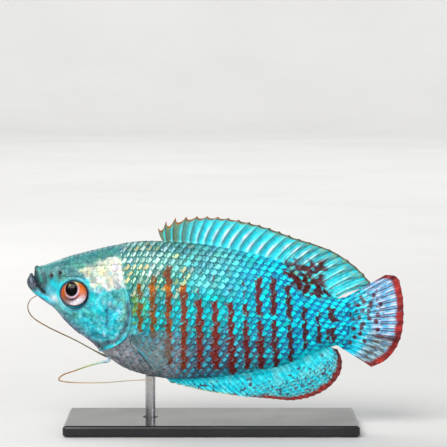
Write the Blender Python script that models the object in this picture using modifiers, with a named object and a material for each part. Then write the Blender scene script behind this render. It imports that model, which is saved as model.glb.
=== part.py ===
# Dwarf gourami, male, still life-size model on a display stand.
#
# The fish swims towards -X with its left side towards -Y, and +Z is up. The origin is the centre
# of the stand's underside, on the surface that the stand rests on. Lengths along the fish are
# measured from the tip of the lower jaw, and heights from the lowest edge of the anal fin.

import math

import bmesh
import bpy
import numpy as np
from mathutils import Matrix

# Driving sizes, in metres
MM = 0.001
GAP = 0.3 * MM  # kept between pieces that meet
LIFT = 5.5 * MM  # lowest fin edge above the surface under the stand
SNOUT_TO_ORIGIN = 36.6 * MM  # from the jaw tip back to the origin
FULL_ROUND, QUARTER_TURN = 2 * math.pi, math.pi / 2
SIDES = {"left": -1, "right": 1}  # the side of the fish along Y

# Body sections: distance from the jaw tip, height of the back, of the widest line and of the
# belly, half width, and how much the section is pinched towards the back and the belly, in mm
SECTIONS = [
    (1.9, 25.9, 24.6, 23.4, 0.85, 0.90, 0.90),
    (2.4, 26.8, 24.4, 22.0, 1.40, 0.90, 0.90),
    (3.4, 27.2, 24.0, 20.6, 1.90, 0.90, 0.90),
    (5.0, 27.8, 23.4, 19.0, 2.50, 0.88, 0.92),
    (6.6, 28.3, 22.9, 17.3, 3.05, 0.86, 0.94),
    (9.4, 29.2, 22.1, 14.5, 3.80, 0.85, 0.95),
    (12.6, 30.0, 21.5, 11.8, 4.40, 0.87, 0.97),
    (15.8, 30.8, 21.0, 8.8, 4.85, 0.90, 0.98),
    (19.6, 31.6, 20.8, 6.4, 5.15, 0.94, 0.98),
    (23.6, 32.0, 20.7, 5.1, 5.25, 0.98, 1.00),
    (27.6, 31.9, 20.5, 4.4, 5.20, 1.00, 1.04),
    (35.6, 31.3, 19.9, 4.4, 4.85, 1.04, 1.18),
    (45.6, 29.3, 18.8, 5.6, 3.95, 1.08, 1.28),
    (50.6, 27.8, 18.1, 6.7, 3.35, 1.08, 1.28),
    (54.6, 25.8, 17.5, 8.2, 2.80, 1.06, 1.20),
    (58.6, 22.9, 16.4, 10.1, 2.25, 1.02, 1.08),
    (61.6, 20.6, 15.8, 10.9, 1.75, 1.00, 1.00),
    (63.6, 20.0, 15.4, 10.7, 1.00, 1.00, 1.00),
    (64.0, 18.8, 15.3, 11.8, 0.60, 1.00, 1.00),
]
SNOUT_RING, BODY_END = 1.9 * MM, 64.0 * MM
SNOUT_BULGE = 0.15 * MM  # how far the blunt front end stands before its first ring
FACE_RINGS, FLANK_RINGS, RING_SIDES = 8, 31, 28
FACE_END, FLANK_START, FLANK_END = 6.6 * MM, 8.2 * MM, 60.6 * MM  # stretches of even rings
STEM_RINGS = [62.0 * MM, 63.2 * MM, 63.8 * MM]
LEAST_SIZE = 0.05 * MM  # half size of an inner surface where the body is thinner than its inset

# The gill opening, from above the nape down and forward to the throat: distance, height, in mm
GILL_LINE = [
    (18.4, 34.0), (18.5, 31.2), (18.9, 27.2), (19.6, 23.8), (20.5, 21.2), (20.9, 18.4),
    (20.8, 16.0), (20.2, 13.9), (18.8, 12.2), (16.6, 10.9), (14.4, 10.0), (12.6, 9.0), (11.2, 7.2),
]
COVER_REAR = GILL_LINE[3:11]
COVER_FRONT = [(12.9, 12.1), (14.8, 12.9), (15.7, 14.4), (16.0, 16.8), (16.0, 22.0)]
COVER_THICK = 0.9 * MM
COVER_MIDLINE = 0.4 * MM  # half the space between the two covers under the throat
SHOULDER_STEP = 0.3 * MM  # the trunk lies this much inside the rear edge of the covers
SHOULDER_FROM, SHOULDER_TO = 15.0 * MM, 25.0 * MM
TAIL_CUT = 59.2  # distance where the trunk ends and the tail stem begins, in mm

# Cutting outlines run this far past the fish, in mm
CUT_FRONT, CUT_REAR, CUT_LOW, CUT_HIGH = -3.0, 70.0, -2.0, 36.0
CUT_HALF_DEPTH = 12 * MM

# Eyes
EYE_AT = (9.5, 21.6)  # distance and height, in mm
EYE_RADIUS, EYE_DEPTH = 3.05 * MM, 1.6 * MM
EYE_CENTRE_Y = 2.85 * MM

# Nostrils, two on each side: distance and height, in mm
NOSTRILS = [(5.0, 25.2), (6.7, 25.8)]
NOSTRIL_RADIUS, NOSTRIL_DEPTH = 0.34 * MM, 0.2 * MM

# Mouth, closed and turned up: the upper lip is a crescent behind the scoop of the lower jaw. Each
# is a path of distances and heights with its half depth and half width along it, in mm
LIP_PATH = [(1.9, 26.6), (2.5, 25.2), (3.0, 23.8), (3.4, 22.5)]
LIP_DEPTHS = [0.45, 0.75, 0.70, 0.40]
LIP_WIDTHS = [0.80, 1.45, 1.80, 1.75]
JAW_PATH = [(0.8, 25.2), (0.9, 23.8), (1.7, 22.4), (3.2, 21.2), (4.8, 19.9)]
JAW_DEPTHS = [0.35, 1.0, 0.92, 0.88, 0.55]
JAW_WIDTHS = [0.55, 1.25, 1.60, 2.00, 1.70]

# Fins. Each row is a ray: where it leaves the body and the distance and height of its tip, in mm
DORSAL_RAYS = [
    (26.7, 26.0, 34.5), (27.8, 27.8, 36.0), (31.8, 33.0, 36.8), (35.6, 38.4, 36.7),
    (42.4, 46.5, 35.1), (49.6, 54.0, 32.4), (55.6, 62.0, 29.2), (60.2, 67.2, 24.9),
    (61.6, 68.3, 23.4), (62.3, 66.8, 22.4),
]
ANAL_RAYS = [
    (28.0, 29.0, 3.5), (32.6, 35.2, 1.9), (37.6, 41.2, 1.0), (43.6, 48.2, 0.3),
    (48.6, 53.6, 0.0), (52.2, 57.8, 1.1), (55.2, 60.8, 3.1), (57.8, 62.5, 5.8),
    (59.6, 62.6, 8.2), (60.8, 61.7, 10.3),
]
# Caudal rays start on the end of the tail stem: height there, then distance and height of the tip
CAUDAL_RAYS = [
    (19.6, 72.6, 25.3), (18.7, 74.0, 23.6), (17.6, 74.7, 20.9), (16.5, 74.8, 18.0),
    (15.3, 74.7, 15.2), (14.2, 74.4, 12.9), (13.2, 73.2, 10.3), (12.1, 71.0, 8.0),
    (11.0, 68.4, 6.8),
]
DORSAL_SPINES, DORSAL_SOFT = 16, 8
ANAL_SPINES, ANAL_SOFT = 17, 14
CAUDAL_COUNT, PECTORAL_COUNT = 14, 10
FIN_THICK = 0.5 * MM
RAY_HEIGHT = 0.17 * MM  # how far a ray stands out of each face at its root
ROOT_THICK = 0.55 * MM  # extra half thickness of the fleshy root
ROOT_SHARE = 0.13
RAY_HALF_WIDTH = 0.22  # of the space between two rays
ROW_SHARES = (0.0, ROOT_SHARE, 0.38, 0.66, 0.86, 1.0)  # from root to free edge
EDGE_THINNING = 0.4
SOFT_NOTCH = 0.04  # share of a soft ray's length by which the edge falls back beside it
RAY_BOW = 0.05  # how far the rays of the two long fins bend, as a share of their length
DORSAL_WAVE, ANAL_WAVE, CAUDAL_WAVE, CAUDAL_FOLD = 0.35 * MM, 0.4 * MM, 0.3 * MM, 1.5 * MM

PECTORAL_TOP, PECTORAL_LOW = (20.9, 13.6), (21.2, 11.9)  # ends of the root, in mm
PECTORAL_LENGTH = 8.9 * MM
PECTORAL_FROM, PECTORAL_TO = math.radians(13), math.radians(-52)
PECTORAL_FLARE = math.radians(17)

# Pelvic feelers, one long thread each: distance, half spread from the midline and height, in mm
FEELER_LEFT = [
    (16.2, -1.3, 7.9), (14.6, -1.9, 7.9), (12.0, -2.4, 7.2), (9.6, -3.0, 6.4),
    (7.6, -3.6, 5.8), (6.6, -4.3, 5.2), (6.7, -4.9, 4.7), (8.6, -5.1, 4.4),
    (11.8, -4.8, 4.25), (15.6, -4.2, 4.2), (20.0, -3.6, 4.45), (25.0, -3.2, 4.7),
]
FEELER_RIGHT = [
    (16.0, 1.3, 8.2), (14.6, 1.9, 9.0), (12.2, 2.3, 10.2), (9.2, 2.6, 11.8),
    (6.2, 2.8, 13.2), (3.2, 2.9, 14.7), (0.7, 2.9, 16.4), (-0.2, 2.9, 18.2),
    (0.3, 2.8, 19.8), (1.9, 2.6, 20.9),
]
FEELER_ROOT, FEELER_BODY, FEELER_TIP = 0.46 * MM, 0.26 * MM, 0.15 * MM  # radii
FEELER_POINTS, FEELER_BEVEL = 36, 1

# Stand
BASE_LENGTH, BASE_WIDTH, BASE_THICK, BASE_ROUND = 58 * MM, 23 * MM, 2.2 * MM, 0.5 * MM
ROD_AT = 24.4 * MM  # distance from the jaw tip
ROD_RADIUS, ROD_SINK = 1.0 * MM, 1.2 * MM

# Finishes: start of the node's name, colour, roughness and metallic share
FINISHES = [
    ("head", (0.10, 0.50, 0.52), 0.35, 0.0),
    ("gill_cover", (0.05, 0.52, 0.62), 0.30, 0.0),
    ("trunk", (0.04, 0.50, 0.60), 0.35, 0.0),
    ("tail_stem", (0.10, 0.45, 0.58), 0.35, 0.0),
    ("upper_lip", (0.06, 0.12, 0.13), 0.45, 0.0),
    ("lower_jaw", (0.05, 0.07, 0.08), 0.45, 0.0),
    ("eye", (0.62, 0.14, 0.04), 0.08, 0.0),
    ("dorsal_fin", (0.06, 0.58, 0.64), 0.30, 0.0),
    ("anal_fin", (0.07, 0.62, 0.70), 0.30, 0.0),
    ("caudal_fin", (0.12, 0.55, 0.66), 0.30, 0.0),
    ("pectoral_fin", (0.38, 0.42, 0.32), 0.30, 0.0),
    ("pelvic_feeler", (0.60, 0.52, 0.26), 0.45, 0.0),
    ("stand_base", (0.02, 0.02, 0.022), 0.20, 0.0),
    ("stand_rod", (0.55, 0.55, 0.56), 0.30, 1.0),
]


def clear_scene():
    for obj in list(bpy.data.objects):
        bpy.data.objects.remove(obj, do_unlink=True)


def finish(name, colour, roughness, metallic):
    material = bpy.data.materials.new(name)
    material.use_nodes = True
    shader = material.node_tree.nodes["Principled BSDF"]
    shader.inputs["Base Color"].default_value = (*colour, 1.0)
    shader.inputs["Roughness"].default_value = roughness
    shader.inputs["Metallic"].default_value = metallic
    return material


def smooth_through(places, values, at):
    # A cubic through the given values, with the slope at each taken from its neighbours
    places, values = np.asarray(places, float), np.asarray(values, float)
    slopes = np.gradient(values, places)
    i = int(np.clip(np.searchsorted(places, at) - 1, 0, len(places) - 2))
    width = places[i + 1] - places[i]
    t = np.clip((at - places[i]) / width, 0.0, 1.0)
    return (
        (2 * t**3 - 3 * t**2 + 1) * values[i]
        + (t**3 - 2 * t**2 + t) * width * slopes[i]
        + (3 * t**2 - 2 * t**3) * values[i + 1]
        + (t**3 - t**2) * width * slopes[i + 1]
    )


def curve_through(points, at):
    # The point at a share of the way through a list of points, each coordinate a smooth curve
    places = np.linspace(0.0, 1.0, len(points))
    return np.array([smooth_through(places, column, at) for column in zip(*points)])


def ramp(value, low, high):
    t = np.clip((value - low) / (high - low), 0.0, 1.0)
    return t * t * (3 - 2 * t)


def section(distance):
    # Back, widest line, belly, half width and the two pinches at a distance from the jaw tip
    places = [row[0] for row in SECTIONS]
    values = [
        smooth_through(places, [row[k] for row in SECTIONS], distance / MM)
        for k in range(1, 7)
    ]
    return [value * MM for value in values[:4]] + values[4:]


def place(distance, y, height):
    return (distance - SNOUT_TO_ORIGIN, y, height + LIFT)


def ring_point(distance, angle, inset=0.0, step=0.0):
    # A point of the body's surface. The angle runs from the back, 0, by the right side
    back, widest, belly, half, upper, lower = section(distance)
    up = math.cos(angle)
    reach = max(LEAST_SIZE, (back - widest if up > 0 else widest - belly) - inset)
    pinch = upper if up > 0 else lower
    side = math.sin(angle)
    narrowed = max(LEAST_SIZE, half - inset - step)
    y = math.copysign(abs(side) ** pinch, side) * narrowed
    return place(distance, y, widest + up * reach)


def half_width_at(distance, height):
    # Half width of the body at a height
    back, widest, belly, half, upper, lower = section(distance)
    above = height > widest
    up = (height - widest) / (back - widest if above else widest - belly)
    side = math.sqrt(max(0.0, 1 - up * up))
    return half * side ** (upper if above else lower)


def shoulder_step(distance):
    return SHOULDER_STEP * (1 - ramp(distance, SHOULDER_FROM, SHOULDER_TO))


def new_object(name, points, faces):
    mesh = bpy.data.meshes.new(name)
    mesh.from_pydata([tuple(map(float, point)) for point in points], [], faces)
    mesh.update()
    obj = bpy.data.objects.new(name, mesh)
    bpy.context.scene.collection.objects.link(obj)
    face_out(obj)
    return obj


def face_out(obj):
    work = bmesh.new()
    work.from_mesh(obj.data)
    bmesh.ops.recalc_face_normals(work, faces=work.faces)
    if work.calc_volume(signed=True) < 0:
        bmesh.ops.reverse_faces(work, faces=work.faces)
    work.to_mesh(obj.data)
    work.free()


def loft(name, rings, first_pole, last_pole):
    # Closed skin over rings of equal count, drawn to a point at both ends
    sides = len(rings[0])
    points = [point for ring in rings for point in ring] + [first_pole, last_pole]
    first, last = len(points) - 2, len(points) - 1
    faces = []
    for r in range(len(rings) - 1):
        for k in range(sides):
            a, b = r * sides + k, r * sides + (k + 1) % sides
            faces.append((a, b, b + sides, a + sides))
    start = (len(rings) - 1) * sides
    for k in range(sides):
        faces.append((first, (k + 1) % sides, k))
        faces.append((last, start + k, start + (k + 1) % sides))
    return new_object(name, points, faces)


def body_loft(name, inset=0.0, stepped=False):
    places = np.concatenate([
        np.linspace(SNOUT_RING, FACE_END, FACE_RINGS),
        np.linspace(FLANK_START, FLANK_END, FLANK_RINGS),
        STEM_RINGS,
    ])
    angles = [FULL_ROUND * k / RING_SIDES for k in range(RING_SIDES)]
    rings = [
        [ring_point(x, a, inset, shoulder_step(x) if stepped else 0.0) for a in angles]
        for x in places
    ]
    first = place(SNOUT_RING - SNOUT_BULGE, 0.0, section(SNOUT_RING)[1])
    last = place(BODY_END, 0.0, section(BODY_END)[1])
    return loft(name, rings, first, last)


def prism(name, outline, half_depth):
    # A flat outline of distances and heights in mm, drawn out along Y to both sides
    work = bmesh.new()
    corners = [work.verts.new(place(x * MM, -half_depth, z * MM)) for x, z in outline]
    face = work.faces.new(corners)
    drawn = bmesh.ops.extrude_face_region(work, geom=[face])
    moved = [item for item in drawn["geom"] if isinstance(item, bmesh.types.BMVert)]
    bmesh.ops.translate(work, verts=moved, vec=(0, 2 * half_depth, 0))
    mesh = bpy.data.meshes.new(name)
    work.to_mesh(mesh)
    work.free()
    obj = bpy.data.objects.new(name, mesh)
    bpy.context.scene.collection.objects.link(obj)
    face_out(obj)
    return obj


def offset_line(line, by):
    # A line of points moved sideways, to the left of its direction
    line = np.array(line, float)
    along = np.gradient(line, axis=0)
    along /= np.linalg.norm(along, axis=1)[:, None]
    return line + np.stack([-along[:, 1], along[:, 0]], axis=1) * by


def grown(outline, by):
    # A closed outline moved outwards all round
    outline = np.array(outline, float)
    before, after = np.roll(outline, 1, axis=0), np.roll(outline, -1, axis=0)
    along = after - before
    along /= np.linalg.norm(along, axis=1)[:, None]
    area = np.sum(outline[:, 0] * after[:, 1] - after[:, 0] * outline[:, 1])
    turn = 1 if area > 0 else -1
    return outline + np.stack([along[:, 1], -along[:, 0]], axis=1) * by * turn


def boolean(obj, other, operation, keep=False):
    modifier = obj.modifiers.new(operation, "BOOLEAN")
    modifier.object, modifier.operation, modifier.solver = other, operation, "EXACT"
    graph = bpy.context.evaluated_depsgraph_get()
    made = bpy.data.meshes.new_from_object(obj.evaluated_get(graph))
    obj.modifiers.remove(modifier)
    obj.data = made
    if not keep:
        bpy.data.objects.remove(other, do_unlink=True)
    return obj


def copy_of(obj, name):
    made = bpy.data.objects.new(name, obj.data.copy())
    bpy.context.scene.collection.objects.link(made)
    return made


def keep_largest(obj):
    # Only the closed surface with the largest volume stays
    work = bmesh.new()
    work.from_mesh(obj.data)
    bmesh.ops.remove_doubles(work, verts=work.verts, dist=0.002 * MM)
    bmesh.ops.triangulate(work, faces=work.faces)
    left, shells = set(work.faces), []
    while left:
        shell, reached = set(), [left.pop()]
        while reached:
            face = reached.pop()
            shell.add(face)
            for edge in face.edges:
                for near in edge.link_faces:
                    if near in left:
                        left.remove(near)
                        reached.append(near)
        shells.append(shell)

    def volume(shell):
        corners = [[v.co for v in face.verts] for face in shell]
        return abs(sum(a.dot(b.cross(c)) for a, b, c in corners))

    shells.sort(key=volume)
    for shell in shells[:-1]:
        bmesh.ops.delete(work, geom=list(shell), context="FACES")
    loose = [v for v in work.verts if not v.link_faces]
    bmesh.ops.delete(work, geom=loose, context="VERTS")
    work.to_mesh(obj.data)
    work.free()


def ellipsoid(name, centre, radii, segments, rings):
    work = bmesh.new()
    bmesh.ops.create_uvsphere(work, u_segments=segments, v_segments=rings, radius=1.0)
    bmesh.ops.rotate(work, verts=work.verts, matrix=Matrix.Rotation(QUARTER_TURN, 3, "X"))
    bmesh.ops.scale(work, verts=work.verts, vec=radii)
    bmesh.ops.translate(work, verts=work.verts, vec=centre)
    mesh = bpy.data.meshes.new(name)
    work.to_mesh(mesh)
    work.free()
    obj = bpy.data.objects.new(name, mesh)
    bpy.context.scene.collection.objects.link(obj)
    return obj


def eye_shape(name, side, grow=0.0):
    centre = place(EYE_AT[0] * MM, side * EYE_CENTRE_Y, EYE_AT[1] * MM)
    across = EYE_RADIUS + grow
    return ellipsoid(name, centre, (across, EYE_DEPTH + grow, across), 24, 12)


def sweep(name, centres, ins, outs, sides):
    # Oval rings about a path in the plane of the fish: ins is the half size in that plane
    centres = np.array(centres)
    along = np.gradient(centres, axis=0)
    along /= np.linalg.norm(along, axis=1)[:, None]
    rings = []
    for centre, way, deep, wide in zip(centres, along, ins, outs):
        normal = np.array([-way[1], way[0]])
        ring = []
        for k in range(sides):
            angle = FULL_ROUND * k / sides
            x, z = centre + normal * deep * math.cos(angle)
            ring.append(place(x, wide * math.sin(angle), z))
        rings.append(ring)
    start = centres[0] - along[0] * ins[0] * 0.6
    end = centres[-1] + along[-1] * ins[-1] * 0.6
    return loft(name, rings, place(start[0], 0, start[1]), place(end[0], 0, end[1]))


def mouth_piece(name, path, depths, widths, grow):
    shares = np.linspace(0, 1, 11)
    centres = [curve_through(path, s) * MM for s in shares]
    ins = [curve_through([(d,) for d in depths], s)[0] * MM + grow for s in shares]
    outs = [curve_through([(w,) for w in widths], s)[0] * MM + grow for s in shares]
    return sweep(name, centres, ins, outs, 16)


def jaw_shape(name, grow=0.0):
    return mouth_piece(name, JAW_PATH, JAW_DEPTHS, JAW_WIDTHS, grow)


def lip_shape(name, grow=0.0):
    return mouth_piece(name, LIP_PATH, LIP_DEPTHS, LIP_WIDTHS, grow)


def one_side(side):
    # All of one side of the fish, clear of the midline
    outline = [(CUT_FRONT, CUT_LOW), (CUT_REAR, CUT_LOW), (CUT_REAR, CUT_HIGH), (CUT_FRONT, CUT_HIGH)]
    box = prism("side", outline, CUT_HALF_DEPTH)
    box.data.transform(Matrix.Translation((0, side * (CUT_HALF_DEPTH + COVER_MIDLINE), 0)))
    return box


def make_gill_covers(body, head):
    # The covers are lifted out of the body's own surface, each from its pocket in the head
    outline = [*COVER_REAR, *COVER_FRONT]
    covers = copy_of(body, "covers")
    boolean(covers, prism("cover_side", outline, CUT_HALF_DEPTH), "INTERSECT")
    boolean(covers, body_loft("cover_inside", COVER_THICK), "DIFFERENCE")
    pocket = prism("pocket", grown(outline, GAP / MM), CUT_HALF_DEPTH)
    boolean(pocket, body_loft("pocket_floor", COVER_THICK + GAP), "DIFFERENCE")
    boolean(head, pocket, "DIFFERENCE")
    for word, side in SIDES.items():
        cover = copy_of(covers, f"gill_cover_{word}")
        boolean(cover, one_side(side), "INTERSECT")
        keep_largest(cover)
    bpy.data.objects.remove(covers, do_unlink=True)


def make_eyes_and_nostrils(head):
    for word, side in SIDES.items():
        eye = eye_shape(f"eye_{word}", side)
        boolean(head, eye_shape("socket", side, GAP), "DIFFERENCE")
        eye.data.shade_smooth()
        for x, z in NOSTRILS:
            y = side * half_width_at(x * MM, z * MM)
            pit = (NOSTRIL_RADIUS, NOSTRIL_DEPTH * 2, NOSTRIL_RADIUS)
            boolean(head, ellipsoid("pit", place(x * MM, y, z * MM), pit, 8, 6), "DIFFERENCE")


def make_mouth(head):
    jaw_shape("lower_jaw")
    lip = lip_shape("upper_lip")
    boolean(lip, jaw_shape("jaw_room", GAP), "DIFFERENCE")
    boolean(head, jaw_shape("jaw_room", GAP), "DIFFERENCE")
    boolean(head, lip_shape("lip_room", GAP), "DIFFERENCE")
    keep_largest(lip)


def make_head(body):
    head = copy_of(body, "head")
    head_side = [(CUT_FRONT, GILL_LINE[0][1]), *GILL_LINE, (CUT_FRONT, GILL_LINE[-1][1])]
    boolean(head, prism("head_side", head_side, CUT_HALF_DEPTH), "INTERSECT")
    make_gill_covers(body, head)
    make_eyes_and_nostrils(head)
    make_mouth(head)
    keep_largest(head)


def make_trunk():
    trunk = body_loft("trunk", stepped=True)
    front = offset_line(GILL_LINE, GAP / MM)
    trunk_side = [*front, (front[-1][0], CUT_LOW), (TAIL_CUT, CUT_LOW), (TAIL_CUT, CUT_HIGH)]
    boolean(trunk, prism("trunk_side", trunk_side, CUT_HALF_DEPTH), "INTERSECT")
    keep_largest(trunk)


def make_tail_stem(body):
    start = TAIL_CUT + GAP / MM
    outline = [(start, CUT_LOW), (CUT_REAR, CUT_LOW), (CUT_REAR, CUT_HIGH), (start, CUT_HIGH)]
    body.name = "tail_stem"
    boolean(body, prism("tail_side", outline, CUT_HALF_DEPTH), "INTERSECT")
    keep_largest(body)


def ray_between(rays, share):
    # The row of a ray at a share of the way along the free edge of the fin
    tips = np.array([row[-2:] for row in rays])
    steps = np.linalg.norm(np.diff(tips, axis=0), axis=1)
    places = np.concatenate([[0.0], np.cumsum(steps)])
    return [smooth_through(places, column, share * places[-1]) for column in zip(*rays)]


def median_fin(rays, root_of, bow, sway):
    # The middle surface of a fin in the plane of the fish. bow bends the rays, sway waves the edge
    def point(across, out):
        row = ray_between(rays, across)
        root = np.array(root_of(row[0] * MM))
        along = np.array(row[-2:]) * MM - root
        normal = np.array([-along[1], along[0]])
        x, z = root + along * out + normal * bow * 4 * out * (1 - out)
        return np.array(place(x, sway(across) * out**1.5, z))

    return point


def ray_columns(count, notch, forked):
    # Across the fin: place, how far it stands out near the root and near the edge, and its reach
    space = 1.0 / (count - 1)
    foot = RAY_HALF_WIDTH * space
    columns = []
    for k in range(count):
        middle = k * space
        low = 1 - notch(middle)
        if forked:
            ray = [(-foot, 0, 0, low), (-foot / 2, 0.9, 1, 1), (0, 1, 0.1, (1 + low) / 2),
                   (foot / 2, 0.9, 1, 1), (foot, 0, 0, low)]
        else:
            ray = [(-foot, 0, 0, low), (0, 1, 1, 1), (foot, 0, 0, low)]
        columns += [(middle + shift, *rest) for shift, *rest in ray]
    return [column for column in columns if -1e-9 <= column[0] <= 1 + 1e-9]


def ribbed_fin(name, count, point, notch, root_thick=ROOT_THICK, forked=False):
    # A thin sheet with its rays raised in both faces, closed along its root and its free edge
    columns = ray_columns(count, notch, forked)
    front, back = [], []
    for across, ridge_root, ridge_edge, reach in columns:
        for share in ROW_SHARES:
            out = share * reach
            ridge = ridge_root + (ridge_edge - ridge_root) * ramp(share, 0.4, 0.7)
            half = FIN_THICK / 2 * (1 - EDGE_THINNING * ramp(share, 0.7, 1.0))
            half += RAY_HEIGHT * ridge * (1 - 0.55 * share)
            half += root_thick * (1 - ramp(share, 0.0, ROOT_SHARE))
            middle = point(across, out)
            front.append(middle - (0, half, 0))
            back.append(middle + (0, half, 0))
    rows, last = len(ROW_SHARES), len(columns) - 1
    shift = len(front)
    faces = []
    for c in range(last):
        for r in range(rows - 1):
            a, b, d, e = c * rows + r, (c + 1) * rows + r, c * rows + r + 1, (c + 1) * rows + r + 1
            faces += [(a, b, e), (a, e, d)]
            faces += [(shift + a, shift + e, shift + b), (shift + a, shift + d, shift + e)]
    rim = [(c * rows, (c + 1) * rows) for c in range(last)]
    rim += [(last * rows + r, last * rows + r + 1) for r in range(rows - 1)]
    rim += [((c + 1) * rows + rows - 1, c * rows + rows - 1) for c in reversed(range(last))]
    rim += [(r + 1, r) for r in reversed(range(rows - 1))]
    for a, b in rim:
        faces += [(a, shift + a, shift + b), (a, shift + b, b)]
    return new_object(name, front + back, faces)


def along_back(distance):
    return (distance, section(distance)[0] + GAP)


def along_belly(distance):
    return (distance, section(distance)[2] - GAP)


def along_stem_end(height):
    return (BODY_END + GAP, height)


def edge_notch(across, spiny_share, spine_notch):
    # How deep the edge is cut between rays: deep between spines, shallow between soft rays
    return SOFT_NOTCH + (spine_notch - SOFT_NOTCH) * (1 - ramp(across, 0.0, spiny_share))


def dorsal_notch(across):
    return edge_notch(across, 0.75, 0.26)


def anal_notch(across):
    return edge_notch(across, 0.7, 0.22)


def even_notch(across):
    return SOFT_NOTCH


def dorsal_sway(across):
    return DORSAL_WAVE * math.sin(FULL_ROUND * 1.3 * across + 0.6)


def anal_sway(across):
    return ANAL_WAVE * math.sin(FULL_ROUND * 1.1 * across + 2.2)


def caudal_sway(across):
    # The lowest third of the tail fin is folded a little towards the fish's left
    return CAUDAL_WAVE * math.sin(FULL_ROUND * across) - CAUDAL_FOLD * ramp(across, 0.62, 1.0)


def make_median_fins():
    dorsal = median_fin(DORSAL_RAYS, along_back, RAY_BOW, dorsal_sway)
    ribbed_fin("dorsal_fin", DORSAL_SPINES + DORSAL_SOFT, dorsal, dorsal_notch)
    anal = median_fin(ANAL_RAYS, along_belly, -RAY_BOW, anal_sway)
    ribbed_fin("anal_fin", ANAL_SPINES + ANAL_SOFT, anal, anal_notch)
    caudal = median_fin(CAUDAL_RAYS, along_stem_end, 0.0, caudal_sway)
    ribbed_fin("caudal_fin", CAUDAL_COUNT, caudal, even_notch, forked=True)


def make_pectoral(word, side):
    top, low = np.array(PECTORAL_TOP) * MM, np.array(PECTORAL_LOW) * MM
    clear = GAP + FIN_THICK / 2 + RAY_HEIGHT

    def point(across, out):
        x, z = top + (low - top) * across
        start = half_width_at(x, z) + clear
        angle = PECTORAL_FROM + (PECTORAL_TO - PECTORAL_FROM) * across
        length = PECTORAL_LENGTH * (0.84 + 0.16 * math.sin(math.pi * across)) * out
        reach = length * math.cos(PECTORAL_FLARE)
        y = start + length * math.sin(PECTORAL_FLARE)
        return np.array(place(x + reach * math.cos(angle), side * y, z + reach * math.sin(angle)))

    ribbed_fin(f"pectoral_fin_{word}", PECTORAL_COUNT, point, even_notch, root_thick=0.0)


def belly_at(distance, y):
    # Height of the body's underside at a distance and a spread from the midline
    _, widest, belly, half, _, lower = section(distance)
    side = min(1.0, (abs(y) / half) ** (1 / lower))
    return widest - (widest - belly) * math.sqrt(1 - side * side)


def make_feeler(name, path):
    # A tapered thread along a smooth path that starts just under the breast
    x, y, _ = path[0]
    start = belly_at(x * MM, y * MM) / MM - (GAP + FEELER_ROOT * 0.5) / MM
    path = [(x, y, start), *path[1:]]
    curve = bpy.data.curves.new(name, "CURVE")
    curve.dimensions, curve.use_fill_caps = "3D", True
    curve.bevel_depth, curve.bevel_resolution = FEELER_ROOT, FEELER_BEVEL
    spline = curve.splines.new("POLY")
    spline.points.add(FEELER_POINTS - 1)
    for k, point in enumerate(spline.points):
        share = k / (FEELER_POINTS - 1)
        x, y, z = curve_through(path, share) * MM
        point.co = (*place(x, y, z), 1.0)
        radius = FEELER_BODY + (FEELER_ROOT - FEELER_BODY) * (1 - ramp(share, 0.0, 0.12))
        point.radius = (radius - (FEELER_BODY - FEELER_TIP) * ramp(share, 0.85, 1.0)) / FEELER_ROOT
    obj = bpy.data.objects.new(name, curve)
    bpy.context.scene.collection.objects.link(obj)


def cylinder(name, radius, low, high, sides):
    work = bmesh.new()
    bmesh.ops.create_cone(
        work, cap_ends=True, segments=sides, radius1=radius, radius2=radius, depth=high - low
    )
    middle = (ROD_AT - SNOUT_TO_ORIGIN, 0.0, (low + high) / 2)
    bmesh.ops.translate(work, verts=work.verts, vec=middle)
    mesh = bpy.data.meshes.new(name)
    work.to_mesh(mesh)
    work.free()
    obj = bpy.data.objects.new(name, mesh)
    bpy.context.scene.collection.objects.link(obj)
    return obj


def make_stand():
    work = bmesh.new()
    bmesh.ops.create_cube(work, size=1.0)
    bmesh.ops.scale(work, verts=work.verts, vec=(BASE_LENGTH, BASE_WIDTH, BASE_THICK))
    bmesh.ops.translate(work, verts=work.verts, vec=(0, 0, BASE_THICK / 2))
    mesh = bpy.data.meshes.new("stand_base")
    work.to_mesh(mesh)
    work.free()
    base = bpy.data.objects.new("stand_base", mesh)
    bpy.context.scene.collection.objects.link(base)
    bevel = base.modifiers.new("round edges", "BEVEL")
    bevel.width, bevel.segments = BASE_ROUND, 2
    floor = BASE_THICK - ROD_SINK
    boolean(base, cylinder("rod_hole", ROD_RADIUS + GAP, floor, 2 * BASE_THICK, 24), "DIFFERENCE")
    top = LIFT + section(ROD_AT)[2] + 2 * ROD_RADIUS
    rod = cylinder("stand_rod", ROD_RADIUS, floor + GAP, top, 20)
    boolean(rod, body_loft("rod_room", -GAP), "DIFFERENCE")
    keep_largest(rod)


def paint_and_gather():
    # Each node has a material of its own, by the first node name here that its name starts with
    parts = bpy.data.collections.new("dwarf_gourami")
    bpy.context.scene.collection.children.link(parts)
    for obj in list(bpy.context.scene.collection.objects):
        bpy.context.scene.collection.objects.unlink(obj)
        parts.objects.link(obj)
        looks = next(values for start, *values in FINISHES if obj.name.startswith(start))
        obj.data.materials.clear()
        obj.data.materials.append(finish(f"{obj.name} finish", *looks))


def main():
    clear_scene()
    body = body_loft("body")
    make_head(body)
    make_trunk()
    make_tail_stem(body)
    make_median_fins()
    for word, side in SIDES.items():
        make_pectoral(word, side)
    make_feeler("pelvic_feeler_left", FEELER_LEFT)
    make_feeler("pelvic_feeler_right", FEELER_RIGHT)
    make_stand()
    paint_and_gather()


main()
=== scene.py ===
# Male dwarf gourami on its stand: one skin with a coat of scales, fins, feelers, eyes, light and camera
import math

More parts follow.
